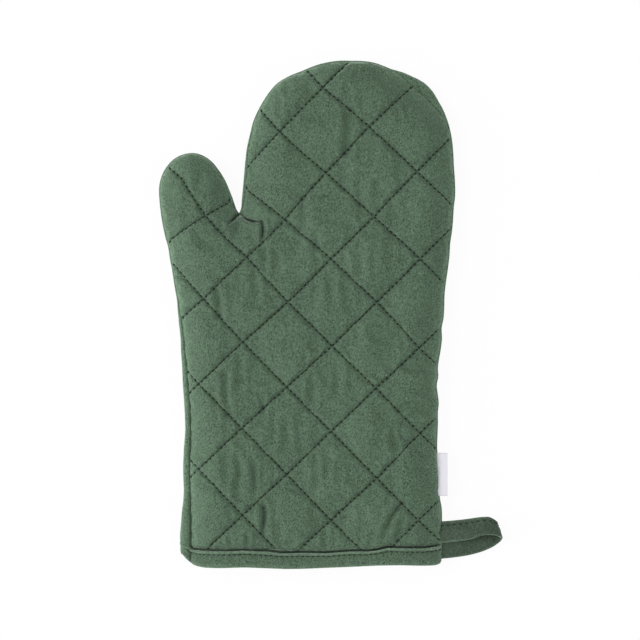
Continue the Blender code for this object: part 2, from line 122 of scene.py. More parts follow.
# One seam crossing, and the steps from it to the next one up and to the next one down the page
FIRST_CROSSING = (331.0, 259.5)
STEP_UP = (43.4, -42.9)
STEP_DOWN = (44.4, 43.4)
# Where seams end away from the even pattern: steps up and down from the first crossing, and pixels
SEAM_ENDS = [
    ((-1.0, -2.62), (182, 179)), ((-1.33, -2.0), (189, 227)), ((-0.55, -2.0), (228, 203)),
    ((-1.65, -2.0), (173, 238)), ((0.0, -1.74), (248, 190)), ((-2.0, -1.66), (177, 268)),
    ((0.0, -2.0), (240, 176)),
]
# Nearest the crotch: the line where the thumb's cloth is parted from the hand's, hidden in a
# crease and then in two seams
PARTING = [(239, 214.5), (235.5, 217.5), (232, 222), (228.5, 228)]

# Creases in the front cloth: their course, depth and half width in millimetres
CREASES = [
    ([(239.4, 213), (235.5, 217.5), (231.5, 221.5), (227, 223.5)], 3.4, 1.0),
    ([(240, 213), (244, 217.5), (250, 220.8), (256, 221.8), (263, 221.6)], 3.6, 1.3),
    ([(262, 221.6), (263.0, 228), (262.6, 236), (261.5, 242)], 2.8, 1.3),
    ([(238, 222), (237, 231), (233.5, 240)], 1.09, 1.5),
    ([(222, 226), (219, 231), (215, 229)], 1.09, 1.6),
    ([(199, 231), (202, 241), (210, 245), (222, 241)], 1.00, 2.4),
    ([(349, 112), (348, 124), (347, 142), (343, 158)], 1.82, 2.6),
    ([(264, 247), (265, 256), (267, 262)], 1.46, 2.1),
    ([(276, 249), (277, 262), (279, 276)], 1.09, 2.1),
    ([(217, 290), (219, 302), (221, 320)], 1.82, 2.1),
    ([(254, 272), (256, 286), (255, 306)], 0.91, 2.2),
    ([(225, 372), (225.5, 384), (227, 402), (231, 418)], 1.79, 1.9),
    ([(240, 355), (241, 372), (239, 395)], 0.91, 2.2),
    ([(262, 395), (263, 412), (260, 424)], 1.09, 1.9),
    ([(311, 378), (313, 394), (311, 412)], 0.91, 2.2),
    ([(337, 361), (338, 378), (336, 398)], 0.82, 2.2),
    ([(286, 421), (287, 437), (285, 452)], 1.09, 2.1),
    ([(236, 456), (239, 472), (237, 488), (243, 501)], 1.82, 1.9),
    ([(253, 462), (255, 478), (254, 495)], 1.90, 1.6),
    ([(222, 447), (225, 462), (228, 478)], 1.09, 1.9),
    ([(262.5, 504), (265, 512), (264, 524), (262.5, 536)], 2.69, 1.6),
    ([(246.5, 534), (247, 541), (246, 548)], 1.68, 1.3),
    ([(230, 537), (231, 548)], 1.09, 1.3),
    ([(326, 452), (328, 468), (326, 482)], 0.95, 2.3),
    ([(316, 456), (316.5, 474), (318, 490)], 0.85, 1.9),
    ([(325, 531), (324, 540), (326, 549)], 1.09, 1.4),
    ([(402, 503), (395, 511), (388, 523), (384, 537)], 2.46, 1.6),
    ([(401, 518), (399, 530), (394, 541)], 1.68, 1.7),
    ([(374, 530), (371, 540), (368, 548)], 0.91, 1.4),
    ([(393, 430), (394, 442), (398, 452)], 1.68, 1.9),
    ([(404, 421), (401, 431), (403, 441)], 1.09, 1.8),
    ([(400, 408), (414, 404.5), (428, 407), (436, 406)], 1.76, 2.1),
    ([(409, 416), (420, 411.5), (432, 414)], 1.49, 1.8),
    ([(404, 366), (416, 369), (430, 367.5)], 1.69, 2.1),
    ([(370, 335), (386, 339), (400, 338), (407, 346)], 1.56, 2.1),
    ([(398, 384), (412, 389), (430, 387)], 0.82, 2.4),
    ([(192, 483), (204, 485), (214, 488)], 1.00, 1.8),
    ([(360, 190), (361, 206), (359, 222)], 0.73, 2.6),
    ([(303, 196), (304, 214), (303, 236)], 0.73, 2.4),
    ([(315, 232), (316, 246), (314, 258)], 0.91, 2.2),
    ([(392, 204), (393, 222), (391, 240)], 0.82, 2.4),
    ([(375, 247), (375, 262), (378, 280)], 0.73, 2.4),
    ([(331, 275), (331, 292), (333, 310)], 0.73, 2.4),
    ([(227.5, 444), (229.5, 456), (232.5, 471)], 0.95, 1.6),
    ([(243.5, 465), (241.5, 478)], 0.85, 1.5),
    ([(264, 468), (262, 482)], 0.80, 1.5),
    ([(338.5, 464), (339, 485)], 0.80, 1.7),
]

# How far the cuff's end and the binding's upper edge lie above their level rows, in pixels by column
FOOT_LIFTS = [
    (179, 15), (181, 13.2), (183, 11.4), (186, 7.8), (190.2, 4.3), (190.8, 3.4), (194, 1.8), (198, 0.7),
    (204, -0.2), (220, -0.4), (244, 0.4), (268, -0.5), (286, -1.2), (304, -1.0), (328, 0.1), (352, 1.0),
    (376, 2.2), (400, 2.6), (424, 1.8), (434, 1.8), (438, 2.4), (440.5, 3.6), (442, 5.2),
]
EDGE_LIFTS = [
    (179, 7.4), (181, 6.4), (186, 3.4), (190.2, 1.4), (193, 0.0), (199, -0.6), (208, -1.0), (232, -0.9),
    (244, -0.2), (256, -0.9), (268, -1.2), (281, -2.9), (304, -2.6), (328, -2.8), (340, -1.8),
    (352, -1.0), (366, -1.3), (376, -0.2), (388, 2.6), (400, 2.1), (424, 1.8), (441, 3.6),
]

# Thickness of the layers, and the clearances between them
CLOTH = 0.7 * MM
LAYER_GAP = 0.5 * MM
WADDING_DEPTH = 3.2 * MM
LINING = 0.5 * MM
FLOOR_GAP = 0.15 * MM
BAND_TOP = 10.7 * MM
RAW_EDGE = 1.3 * MM
SEAM_ALLOWANCE = 4.5 * MM

# Shape of the two panels across their edges
FRONT_SHOULDER = 24 * MM
BACK_SHOULDER = 20 * MM
FRONT_SHARE = 0.60
BACK_SHARE = 0.62
CUFF_TAPER = 30 * MM
BINDING_ROOM = 1.75 * MM
FLAT_CUT = 0.9 * MM

# Quilting: a narrow channel at each seam, and the slow rise to the middle of a diamond
CHANNEL_DEPTH = 1.3 * MM
CHANNEL_WIDTH = 0.72 * MM
PUFF_DEPTH = 1.1 * MM
PUFF_SHARE, BACK_PUFF_SHARE = 0.55, 0.35
BACK_QUILTING = 0.8
STITCH = 3.1 * MM
# Each panel's quilting starts just under the band's edge and is full after this length; it fades
# out towards the panel's edge, on the front to a share of its own
QUILT_START = -1 * MM
FRONT_QUILT_RISE, BACK_QUILT_RISE = 1.2 * MM, 4 * MM
FRONT_EDGE_FADE, BACK_EDGE_FADE = 5 * MM, 6 * MM
FRONT_EDGE_SHARE = 0.7
# Creases: swollen lips beside them, at so many half widths, and what they may cut from the edge
LIP_SWELL, LIP_PLACE = 0.22, 2.1
EDGE_CUT_SHARE, EDGE_CUT_DEPTH = 0.7, 2.6 * MM
# How far the binding's seam presses the cloth down, under the band and at its edge
BAND_SINK = 1.9 * MM
BAND_SLOPE = 0.3 * MM
BAND_GROOVE = 3.0 * MM
BAND_TUCK = 0.95 * MM
GROOVE_PLACE = 0.35 * MM

# Meshes: cells from seam to seam of the quilting, and steps along the outlines
CELLS = 30
LAYER_CELLS = 12
# Rows of points above the binding's edge, and how far up from it the simulation leaves the cloth
BAND_RISES = [rise * MM for rise in (-0.4, 0.05, 0.5, 0.95, 1.3, 1.7, 2.3)]
BAND_HOLD = 1.3 * MM
EDGE_STEP = 1.7 * MM
# The seams of each family are numbered so, and the front cloth has points this far to their sides
SEAM_NUMBERS = range(-6, 7)
SEAM_SIDE = 0.62 * MM
# The triangulation works in these scales, unequal so that no four points lie on one circle
CDT_SCALES = (1000.0, 1050.0)
# What the pieces of each bent part are called, and the zones of the frame's nodes they replace
LABELS = {"fingers": "hand", "thumb": "thumb"}
ZONES = {"fingers": ("palm", "fingers"), "thumb": ("thumb",)}
LINING_DEPTH = CLOTH + LAYER_GAP + WADDING_DEPTH + LAYER_GAP
HALF_MOUTH = 0.2 * MM
LEAST_WADDING = 0.3 * MM
# Between cloth and wadding, in the front panel (1) and the back panel (-1)
WADDING_GAPS = {1: 1.5 * LAYER_GAP, -1: LAYER_GAP}
LINING_DIMPLE = 0.25
# The rim keeps this far below the side seam, and bulges by this share of the spread between them
RIM_GAP, RIM_BULGE = 0.3 * MM, 0.5
# The wadding keeps clear of the lowest cloth at these steps round it
NEIGHBOURS = np.array([(0, 0), (1.6, 0), (-1.6, 0), (0, 1.6), (0, -1.6)]) * MM
# How far inside its outline each kind of layer has rings of points
FRONT_INSETS = (0.45 * MM, 1.2 * MM, 2.3 * MM)
BACK_INSETS = (0.6 * MM, 1.8 * MM, 3.4 * MM)
LAYER_INSETS = (1.2 * MM, 3 * MM)
# Courses of the two sharpest creases, which get rows of points of their own
SHARP_COURSES = [
    [(242.5, 216), (246, 218.8), (250, 220.8), (254, 221.7)], [(262.9, 226), (262.6, 236)],
]

# The simulation that blows the front cloth up: the cloth, its steps, and how far a point may move
CLOTH_SETTINGS = {
    "quality": 5, "mass": 0.15, "tension_stiffness": 15, "compression_stiffness": 15,
    "shear_stiffness": 5, "bending_stiffness": 0.08, "use_pressure": True,
    "uniform_pressure_force": 0.45, "shrink_min": -0.03, "vertex_group_mass": "held",
}
CLOTH_STEPS = 16
CLOTH_RISE = 1.1 * MM

# Stitches: how much of their step shows, the thread's radius, and how far its ends are sunk and its
# middle is raised
STITCH_SHARE, BINDING_STITCH_SHARE = 0.46, 0.6
LEAST_RUN = 8
QUILT_THREAD, QUILT_SINK, QUILT_RAISE = 0.46 * MM, 0.34 * MM, 0.22 * MM
BINDING_THREAD, BINDING_RAISE, BINDING_STITCH_ROW = 0.38 * MM, 0.28 * MM, 8.3 * MM
TAPE_THREAD, TAPE_RAISE = 0.26 * MM, 0.16 * MM
TAPE_STITCH, TAPE_STITCH_STEP = 2.0 * MM, 3.7 * MM
SIDES = 6
# How thick a thread is along a stitch: places from 0 to 1 and shares of its radius
ROUNDED = [(k / 6, 0.25 if k in (0, 6) else (1 - (k / 3 - 1) ** 6) ** 0.5) for k in range(7)]
EVEN = [(k / 5, 0.3 if k in (0, 5) else 1.0) for k in range(6)]

# Cuff binding. Rows of its outer face: height above the cuff's end, distance off the cloth, and painted
# highlight
BINDING_ROWS = [
    (10.30, 0.25, 0.0), (10.36, 1.10, 0.2), (10.22, 1.90, 0.8), (9.85, 2.40, 1.2), (9.35, 2.30, 0.9),
    (8.85, 1.45, 0.0), (8.35, 0.45, 0.0), (7.80, 0.80, 0.0), (7.00, 1.12, 0.0), (5.80, 1.32, 0.0),
    (4.40, 1.38, 0.0), (3.00, 1.32, 0.1), (1.90, 1.16, 0.25), (1.00, 0.88, 0.6), (0.40, 0.50, 1.0),
    (0.08, 0.12, 1.0),
]
# Rows of it within the mouth, and against the cloth: height and distance, all in millimetres
MOUTH_ROWS = [
    (0.08, -0.1), (0.5, -0.9), (4.0, -0.9), (9.5, -0.9), (9.5, -0.1), (4.0, -0.1), (1.0, -0.1),
]
CLOTH_ROWS = [(1.0, 0.12), (5.0, 0.12)]
SECTION_ROW = 6 * MM
SECTION_POINTS = 121
MOUTH_INSET = 11 * MM
MOUTH_GAP = 0.4 * MM
# Rings from the back panel's rim to the side seam, in the binding and in the back cloth
BINDING_RIM_RINGS, BACK_RIM_RINGS = 6, 5
# At the glove's two sides the binding lies closer, by this share, and has more painted highlight
FLUSH_SHARE, FLUSH_LENGTH = 0.35, 2.5 * MM
END_HIGHLIGHT = 0.6

# Hanging loop: the tape's two edges in pixels and its height in millimetres, from the upper root
# round the far end to the lower root
LOOP_COURSE = [
    ((437, 521.9), (437, 543.4), 10.0), ((447, 521.3), (448, 542.8), 10.1),
    ((458, 520.3), (460, 541.4), 10.4), ((470, 518.8), (472, 539.4), 10.8),
    ((482, 517.2), (484, 535.4), 11.4), ((490, 517.3), (493, 535.4), 11.2),
    ((495.0, 520.4), (499.9, 536.9), 10.0), ((497.3, 523.4), (502.6, 538.6), 7.6),
    ((496, 525.4), (502.2, 541.0), 5.4), ((489, 526.6), (496.6, 546.0), 4.4),
    ((476, 528.6), (486.6, 551.3), 4.0), ((462, 531.4), (471.2, 555.9), 4.2),
    ((450, 534.4), (456.4, 558.2), 5.6), ((437, 537.6), (437, 559.8), 8.0),
]
HALF_TAPE = 0.65 * MM
TAPE_RIPPLE = 0.28 * MM
TAPE_GROOVE = 0.22 * MM
# Where the tape is stitched and where its faces have points, as shares of its width
TAPE_SEAM = -0.3
TAPE_SHARES = (-0.38, -0.3, -0.15, 0, 0.2, 0.4)

# Side label: a bare ribbon folded once, with its fold to the right
LABEL_ROWS = (453.2, 496.2)
LABEL_COLUMNS = (436.6, 447.6)
RIBBON = 0.22 * MM
RIBBON_GAP = 0.16 * MM
RIBBON_WAVE = 0.35 * MM

# Stage: each light's name, place, size and power, then world, floor and camera
LIGHTS = [
    ("key", (-0.95, 0.2, 1.25), 0.7, 14.0), ("fill", (1.2, -0.5, 0.9), 1.0, 8.0),
    ("side", (-1.5, -0.3, 0.4), 0.8, 14.0),
]
WORLD_STRENGTH = 0.57
FLOOR_GREY = 0.80
FLOOR_GLOW = 0.95
LENS = 200.0
SENSOR = 36.0
FRAME_LEVEL = 14 * MM

# Painted highlight along the edges: how far it reaches in, and how much paler it makes the colour (and
# darker where painted shade is)
HIGHLIGHT_FADE = 2.2 * MM
PAINTED_LIGHT_GAIN = 0.6
# Painted shade: in creases from this depth on, and on a strip and the lip above it by the
# binding, each by its place above the binding's edge and its share
CREASE_SHADE_START, CREASE_SHADE_RISE = 2.1 * MM, 1.0 * MM
TUCK_PLACE, TUCK_SHADE_SHARE = 0.55 * MM, 0.65
LIP_HEIGHT, LIP_WIDTH, LIP_SHADE_SHARE = 2.0 * MM, 0.8 * MM, 0.15

# Colours, as linear values
GREEN = (0.068, 0.112, 0.072)
GREEN_BINDING = (0.065, 0.105, 0.068)
GREEN_TAPE = (0.046, 0.070, 0.047)
GREEN_LINING = (0.064, 0.104, 0.068)
# The thread: partly its own green, partly painted shade of the needle holes it sits in
THREAD_AND_HOLE_SHADE = (0.011, 0.020, 0.013)
WHITE_WADDING = (0.60, 0.595, 0.575)
WHITE_RIBBON = (0.713, 0.70, 0.755)


def rise(values, start, length):
    """0 up to the start, then rising evenly to 1 over that length."""
    return np.clip((values - start) / length, 0, 1)


def to_world(pixels):
    pixels = np.asarray(pixels, float).reshape(-1, 2)
    x = (pixels[:, 0] - LEFT_COLUMN) * PIXEL + left
    y = (FOOT_ROW - pixels[:, 1]) * PIXEL + foot
    return np.stack([x, y], 1)


def unit(rows):
    return rows / np.linalg.norm(rows, axis=1)[:, None]


def level_row(x, y):
    """Places at each x, all at the same y."""
    return np.column_stack([x, np.full(len(x), y)])


def columns_of(x):
    return (x - left) / PIXEL + LEFT_COLUMN


def lengths(path):
    """How far along a path each of its points is."""
    return np.concatenate([[0], np.cumsum(np.linalg.norm(np.diff(path, axis=0), axis=1))])


def places_at(path, at, where):
    return np.stack([np.interp(where, at, column) for column in path.T], 1)


def smooth(points, step):
    """Points about a step apart on a smooth curve through the given points."""
    points = np.asarray(points, float)
    gaps = np.linalg.norm(np.diff(points, axis=0), axis=1)
    at = np.concatenate([[0], np.cumsum(gaps)])
    slopes = np.gradient(points, at, axis=0, edge_order=2 if len(points) > 2 else 1)
    where = np.linspace(0, at[-1], max(2, round(at[-1] / step) + 1))
    k = np.clip(np.searchsorted(at, where, side="right") - 1, 0, len(gaps) - 1)
    h = gaps[k][:, None]
    t = (where - at[k])[:, None] / h
    start, end = (1 + 2 * t) * (1 - t) ** 2, t * t * (3 - 2 * t)
    leaving = slopes[k] * h * t * (1 - t) ** 2
    arriving = slopes[k + 1] * h * t * t * (t - 1)
    return points[k] * start + leaving + points[k + 1] * end + arriving


def nearest(curve, places, values=None):
    """Distance of each place from a polyline, and the polyline's value there."""
    starts, along = curve[:-1], np.diff(curve, axis=0)
    squared = (along * along).sum(1)
    distances, found = np.empty(len(places)), np.empty(len(places))
    for first in range(0, len(places), 2000):
        block = places[first:first + 2000]
        offset = block[:, None, :] - starts[None, :, :]
        share = np.clip((offset * along).sum(2) / squared, 0, 1)
        gap = np.linalg.norm(offset - share[:, :, None] * along, axis=2)
        index = gap.argmin(1)
        rows = np.arange(len(block))
        distances[first:first + 2000] = gap[rows, index]
        if values is not None:
            t = share[rows, index]
            found[first:first + 2000] = values[index] * (1 - t) + values[index + 1] * t
    return distances if values is None else (distances, found)


def inside(polygon, places):
    x, y = places[:, 0, None], places[:, 1, None]
    start, end = polygon, np.roll(polygon, -1, axis=0)
    crosses = (start[:, 1] > y) != (end[:, 1] > y)
    with np.errstate(divide="ignore", invalid="ignore"):
        at = start[:, 0] + (y - start[:, 1]) * (end[:, 0] - start[:, 0]) / (end[:, 1] - start[:, 1])
    return ((crosses & (x < at)).sum(1) % 2).astype(bool)


def outset(curve, distances):
    """The open curve moved to its left; round a panel, that is out of the glove."""
    along = unit(np.gradient(curve, axis=0))
    return curve + np.reshape(distances, (-1, 1)) * np.stack([-along[:, 1], along[:, 0]], 1)


# The two panels' outlines and the levels of their edges

cuff_end = foot + RAW_EDGE
thumb_edge = smooth(to_world(THUMB_EDGE), EDGE_STEP)
finger_edge = smooth(to_world(FINGER_EDGE), EDGE_STEP)
crotch = thumb_edge[-1]


def down_to_cuff(curve, end):
    """The curve with a straight run added down to the raw edge of the cuff."""
    point = curve[0 if end == "start" else -1]
    count = max(2, round((point[1] - cuff_end) / EDGE_STEP))
    rows = np.linspace(point[1], cuff_end, count + 1)[1:]
    run = np.stack([np.full(len(rows), point[0]), rows], 1)
    return np.vstack([run[::-1], curve]) if end == "start" else np.vstack([curve, run])


thumb_edge = down_to_cuff(thumb_edge, "start")
finger_edge = down_to_cuff(finger_edge, "end")


def spread_of(curve, tables):
    """How far the back panel stands out beside each point of the front's edge."""
    columns = columns_of(curve[:, 0])
    rows = FOOT_ROW - (curve[:, 1] - foot) / PIXEL
    result = np.full(len(curve), PLAIN_SPREAD)
    for axis, low, high, table in tables:
        where = columns if axis == "column" else rows
        chosen = (where >= table[0][0]) & (columns >= low) & (columns <= high)
        if axis == "column":
            chosen &= rows < FINGERTIP_ROWS
        result[chosen] = np.interp(where[chosen], *np.array(table).T)
    return result * PIXEL


thumb_spread = spread_of(
    thumb_edge, [("row", 0, 195, LEFT_SPREADS), ("row", 196, 240, THUMB_SPREADS)])
finger_spread = spread_of(
    finger_edge, [("row", 0, 300, CROTCH_SPREADS), ("column", 300, PHOTO_SIZE, TIP_SPREADS)])
front_curve = np.vstack([thumb_edge, finger_edge[1:]])
spreads = np.concatenate([thumb_spread, finger_spread[1:]])
back_curve = outset(front_curve, spreads)
corner = len(thumb_edge) - 1
back_curve[corner] = front_curve[corner]
back_curve[[0, -1], 1] = cuff_end

label_low, label_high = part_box("side_label")
SEAM_LEVEL = label_low.z + (label_high.z - label_low.z) / 2
FRONT_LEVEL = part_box("front_cloth_palm")[1].z
seam_levels = SEAM_LEVEL - SEAM_DROP * spreads
rim_levels = SEAM_LEVEL - RIM_DROP * spreads - RIM_GAP


def edge_rise(x):
    """How far the binding's upper edge lies above its level row."""
    return np.interp(columns_of(x), *np.array(EDGE_LIFTS).T) * PIXEL


def foot_shift(x, y):
    """How far the cuff's end is drawn up, fading out at the top of the band."""
    lift = np.interp(columns_of(x), *np.array(FOOT_LIFTS).T) * PIXEL
    return lift * (1 - rise(y, foot, BAND_TOP))


def band_shift(x, y):
    """The same for the binding, whose upper edge has its own course."""
    return foot_shift(x, y) + edge_rise(x) * rise(y, foot, BAND_TOP)


# The quilting pattern: an even lattice, shifted to meet the crossings

first_crossing = to_world([FIRST_CROSSING])[0]
step_up = np.array([STEP_UP[0], -STEP_UP[1]]) * PIXEL
step_down = np.array([STEP_DOWN[0], -STEP_DOWN[1]]) * PIXEL
lattice_matrix = np.stack([step_up, step_down], 1)
PITCH = (np.linalg.norm(step_up) + np.linalg.norm(step_down)) / 2


def even_place(coordinates):
    return first_crossing + np.asarray(coordinates) @ lattice_matrix.T


def even_coordinates(places):
    return np.linalg.solve(lattice_matrix, (places - first_crossing).T).T


crossing_places = to_world(CROSSINGS)
crossing_nodes = np.round(even_coordinates(crossing_places))
control_nodes = np.vstack([crossing_nodes, [node for node, _ in SEAM_ENDS]])
control_places = even_place(control_nodes)
seen_places = np.vstack([crossing_places, to_world([pixel for _, pixel in SEAM_ENDS])])
control_shifts = seen_places - control_places
control_gaps = np.linalg.norm(control_places[:, None, :] - control_places[None], axis=2)
control_weights = np.linalg.solve(control_gaps, control_shifts)


def shift_at(even):
    """How far the real pattern lies from the even one; seams stay nearly straight between crossings."""
    gaps = np.linalg.norm(even[:, None, :] - control_places[None], axis=2)
    return gaps @ control_weights


def pattern_place(coordinates):
    even = even_place(coordinates)
    return even + shift_at(even)


def pattern_coordinates(places):
    even = places.copy()
    for _ in range(6):
        even = places - shift_at(even)
    return even_coordinates(even)


def parting_line():
    """From the crotch along a crease to the thumb's seam, down it, and out along the next one."""
    crease = to_world(PARTING)
    start = pattern_coordinates(crease[-1:])[0]
    first = math.ceil(start[1] * CELLS) / CELLS
    down = [(-1.0, b) for b in np.arange(first, -1.0 + 1e-6, 1 / CELLS)]
    out = [(a, -1.0) for a in np.arange(-1.0, -2.8, -1 / CELLS)]
    return np.vstack([smooth(crease, EDGE_STEP), pattern_place(down), pattern_place(out[1:])])


parting = parting_line()
outside = left - 50 * MM
thumb_region = np.vstack([parting, [(outside, parting[-1, 1]), (outside, tip), (crotch[0], tip)]])


# Heights of the layers

def shoulder(share, power):
    return (1 - (1 - np.clip(share, 0, 1)) ** 2) ** power


def quilt_pull(places, rounded):
    """How deep the seams pull the cloth in, as a length."""
    coordinates = pattern_coordinates(places)
    off = np.abs(coordinates - np.round(coordinates)) * PITCH
    narrow = np.exp(-(off / CHANNEL_WIDTH) ** 1.1)
    narrow = 1 - (1 - narrow[:, 0]) * (1 - narrow[:, 1])
    waves = np.abs(np.sin(math.pi * coordinates[:, 0]) * np.sin(math.pi * coordinates[:, 1]))
    return CHANNEL_DEPTH * narrow + PUFF_DEPTH * (1 - waves ** rounded)


def crease_cut(places, widened=0.0):
    """How deep the creases cut into the cloth; widened, a smooth hull under them all."""
    total = np.zeros(len(places))
    swell = 0 if widened else LIP_SWELL
    for course, depth, width in CREASES:
        line = smooth(to_world(course), 1.5 * MM)
        along = np.linspace(0, 1, len(line))
        reach = np.ptp(line, axis=0) / 2 + 5 * width * MM + widened
        near = (np.abs(places - line.mean(0)) < reach).all(1)
        if not near.any():
            continue
        distance, share = nearest(line, places[near], along)
        taper = np.sqrt(np.clip(np.minimum(share * 6 + 0.35, (1 - share) * 3), 0, 1))
        side = np.maximum(distance - widened, 0) / (width * MM)
        profile = np.exp(-side ** 2) - swell * np.exp(-(side - LIP_PLACE) ** 2)
        total[near] += depth * MM * taper * profile
    return total


def above_band(places):
    """How far places lie above the binding's upper edge."""
    return places[:, 1] - foot - BAND_TOP - edge_rise(places[:, 0])


def front_level(places, quilted=True, creased=False):
    distance, edge = nearest(front_curve, places, seam_levels)
    level = edge + (FRONT_LEVEL - edge) * shoulder(distance / FRONT_SHOULDER, FRONT_SHARE)
    above = above_band(places)
    if quilted:
        fade = FRONT_EDGE_SHARE + (1 - FRONT_EDGE_SHARE) * rise(distance, 0, FRONT_EDGE_FADE)
        fade = fade * rise(distance, 0, 1 * MM) * rise(above, QUILT_START, FRONT_QUILT_RISE)
        level = level - quilt_pull(places, PUFF_SHARE) * fade
    lowest = edge + 0.1 * MM
    if creased:
        cut = crease_cut(places)
        level = level - cut
        deepest = EDGE_CUT_SHARE * np.clip(cut, 0, EDGE_CUT_DEPTH)
        lowest -= deepest * rise(distance, 0.5 * MM, 1 * MM)
    under_band = 1 / (1 + np.exp(np.clip(above / BAND_SLOPE, -30, 30)))
    groove = BAND_GROOVE * np.exp(-((above - GROOVE_PLACE) / BAND_TUCK) ** 4)
    return np.maximum(level - BAND_SINK * under_band - groove, lowest)


def back_level(places, quilted=True):
    distance, edge = nearest(back_curve, places, rim_levels)
    above = places[:, 1] - foot - BAND_TOP
    near_cuff = 1 - rise(above, 0, CUFF_TAPER)
    lowest = BINDING_ROOM * near_cuff ** 2 * (3 - 2 * near_cuff) - FLAT_CUT * (1 - near_cuff)
    level = lowest + (edge - lowest) * (1 - shoulder(distance / BACK_SHOULDER, BACK_SHARE))
    if quilted:
        fade = rise(distance, 0, BACK_EDGE_FADE) * rise(above, QUILT_START, BACK_QUILT_RISE)
        level = level + quilt_pull(places, BACK_PUFF_SHARE) * fade * BACK_QUILTING
    return np.clip(level, FLOOR_GAP, edge)


# Meshes of triangles laid over an outline

def quilting_grid(cells, loop):
    """Points within a loop on the quilting's own grid, and which of them lie by a seam."""
    beside = SEAM_SIDE / PITCH if cells == CELLS else 0.5 / cells
    shares = np.unique(np.concatenate([np.arange(cells) / cells, [beside, 1 - beside]]))
    steps = (np.array(SEAM_NUMBERS)[:, None] + shares[None]).ravel()
    coordinates = np.stack(np.meshgrid(steps, steps), 2).reshape(-1, 2)
    by_seam = np.abs(coordinates - np.round(coordinates)).min(1) < beside * 1.01
    grid = pattern_place(coordinates)
    keep = (grid > loop.min(0)).all(1) & (grid < loop.max(0)).all(1)
    keep &= grid[:, 1] > cuff_end + 0.8 * MM
    grid, by_seam = grid[keep], by_seam[keep]
    keep = inside(loop, grid)
    return grid[keep], by_seam[keep]


def triangulate(curve, cells, insets, lines):
    """Triangles inside a curve that is closed along the cuff, with edges along the lines too."""
    count = round((curve[-1, 0] - curve[0, 0]) / EDGE_STEP)
    x = np.linspace(curve[-1, 0], curve[0, 0], count + 1)[1:-1]
    loop = np.vstack([curve, level_row(x, cuff_end)])
    points = [loop, *lines]
    edges = [(i, (i + 1) % len(loop)) for i in range(len(loop))]
    total = len(loop)
    for line in lines:
        edges += [(total + i, total + i + 1) for i in range(len(line) - 1)]
        total += len(line)
    spacing = PITCH / cells
    grid, by_seam = quilting_grid(cells, loop)
    gap = nearest(curve, grid)
    clear = gap > max(insets) + 0.5 * spacing
    ends = grid[by_seam & ~clear & (gap > 0.4 * MM)] if cells == CELLS else np.zeros((0, 2))
    grid = np.vstack([grid[clear], ends])
    for inset in insets:
        ring = outset(curve, -inset)
        keep = inside(loop, ring) & (nearest(curve, ring) > inset * 0.93)
        keep &= ring[:, 1] > cuff_end + 0.5 * MM
        for line in lines:
            keep &= nearest(line, ring) > 0.5 * MM
        if len(ends):
            keep &= np.linalg.norm(ring[:, None] - ends[None], axis=2).min(1) > 0.5 * MM
        points.append(ring[keep])
    for line in lines:
        gap = nearest(line, grid)
        grid = grid[(gap > 0.4 * spacing) | (gap < 0.02 * MM)]
    points.append(grid)
    stretched = np.vstack(points) * CDT_SCALES
    found = delaunay_2d_cdt([Vector(point) for point in stretched], edges, [], 0, 0.001)
    places = np.array([tuple(vertex) for vertex in found[0]]) / CDT_SCALES
    faces = np.array(found[2])
    faces = faces[inside(loop, places[faces].mean(1))]
    corners = places[faces]
    a, b = corners[:, 1] - corners[:, 0], corners[:, 2] - corners[:, 0]
    turned = a[:, 0] * b[:, 1] - a[:, 1] * b[:, 0] < 0
    faces[turned] = faces[turned][:, ::-1]
    return places, faces


def edge_pairs(faces):
    """Directed edges that only one triangle has."""
    edges = {(int(a), int(b)) for face in faces for a, b in zip(face, np.roll(face, -1))}
    return [edge for edge in sorted(edges) if edge[::-1] not in edges]


def compact(vertices, faces, *values):
    """Only the vertices that the faces use, with the values that go with them."""
    used = np.unique(faces)
    index = np.full(len(vertices), -1)
    index[used] = np.arange(len(used))
    return vertices[used], index[faces], *[value[used] for value in values]


def edge_highlight(curve, places):
    """Painted highlight along the edge: full at the edge, fading within a few millimetres."""
    return np.exp(-nearest(curve, places[:, :2]) / HIGHLIGHT_FADE)


def add_object(name, data):
    item = bpy.data.objects.new(name, data)
    bpy.context.scene.collection.objects.link(item)
    return item


def new_piece(name, vertices, faces, material, painted_light=None):
    mesh = bpy.data.meshes.new(name)
    faces = [tuple(int(i) for i in face) for face in faces]
    mesh.from_pydata([tuple(vertex) for vertex in vertices], [], faces)
    # Per-vertex painted light: above 0 a painted highlight, below 0 a painted shade
    if painted_light is not None:
        attribute = mesh.attributes.new("painted_light", "FLOAT", "POINT")
        attribute.data.foreach_set("value", np.asarray(painted_light, float))
    mesh.validate()
    mesh.shade_smooth()
    mesh.materials.append(material)
    piece = add_object(name, mesh)
    return piece


def apply_modifiers(piece):
    """The piece's mesh becomes what its modifiers show, and the modifiers go."""
    graph = bpy.context.evaluated_depsgraph_get()
    old = piece.data
    fresh = bpy.data.meshes.new_from_object(piece.evaluated_get(graph), depsgraph=graph)
    piece.modifiers.clear()
    piece.data = fresh
    fresh.name = piece.name
    bpy.data.meshes.remove(old)


def thicken(piece, thickness):
    """A cloth of that thickness, grown to the inside of its outer face."""
    solid = piece.modifiers.new("cloth_thickness", "SOLIDIFY")
    solid.thickness = thickness
    solid.offset = -1
    solid.use_even_offset = False
    apply_modifiers(piece)
    piece.data.shade_smooth()
    piece.data.set_sharp_from_angle(angle=math.radians(62))


def bend(piece):
    """The piece's placement is baked into its mesh."""
    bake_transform(piece)


def place_layer(piece, part, layer):
    bend(piece)
    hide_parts(*[f"{layer}_{zone}" for zone in ZONES[part]])
    return piece


def by_part(places, faces):
    """The faces of the hand and fingers, and those of the thumb."""
    thumb = inside(thumb_region, places[faces].mean(1))
    return ("fingers", faces[~thumb]), ("thumb", faces[thumb])


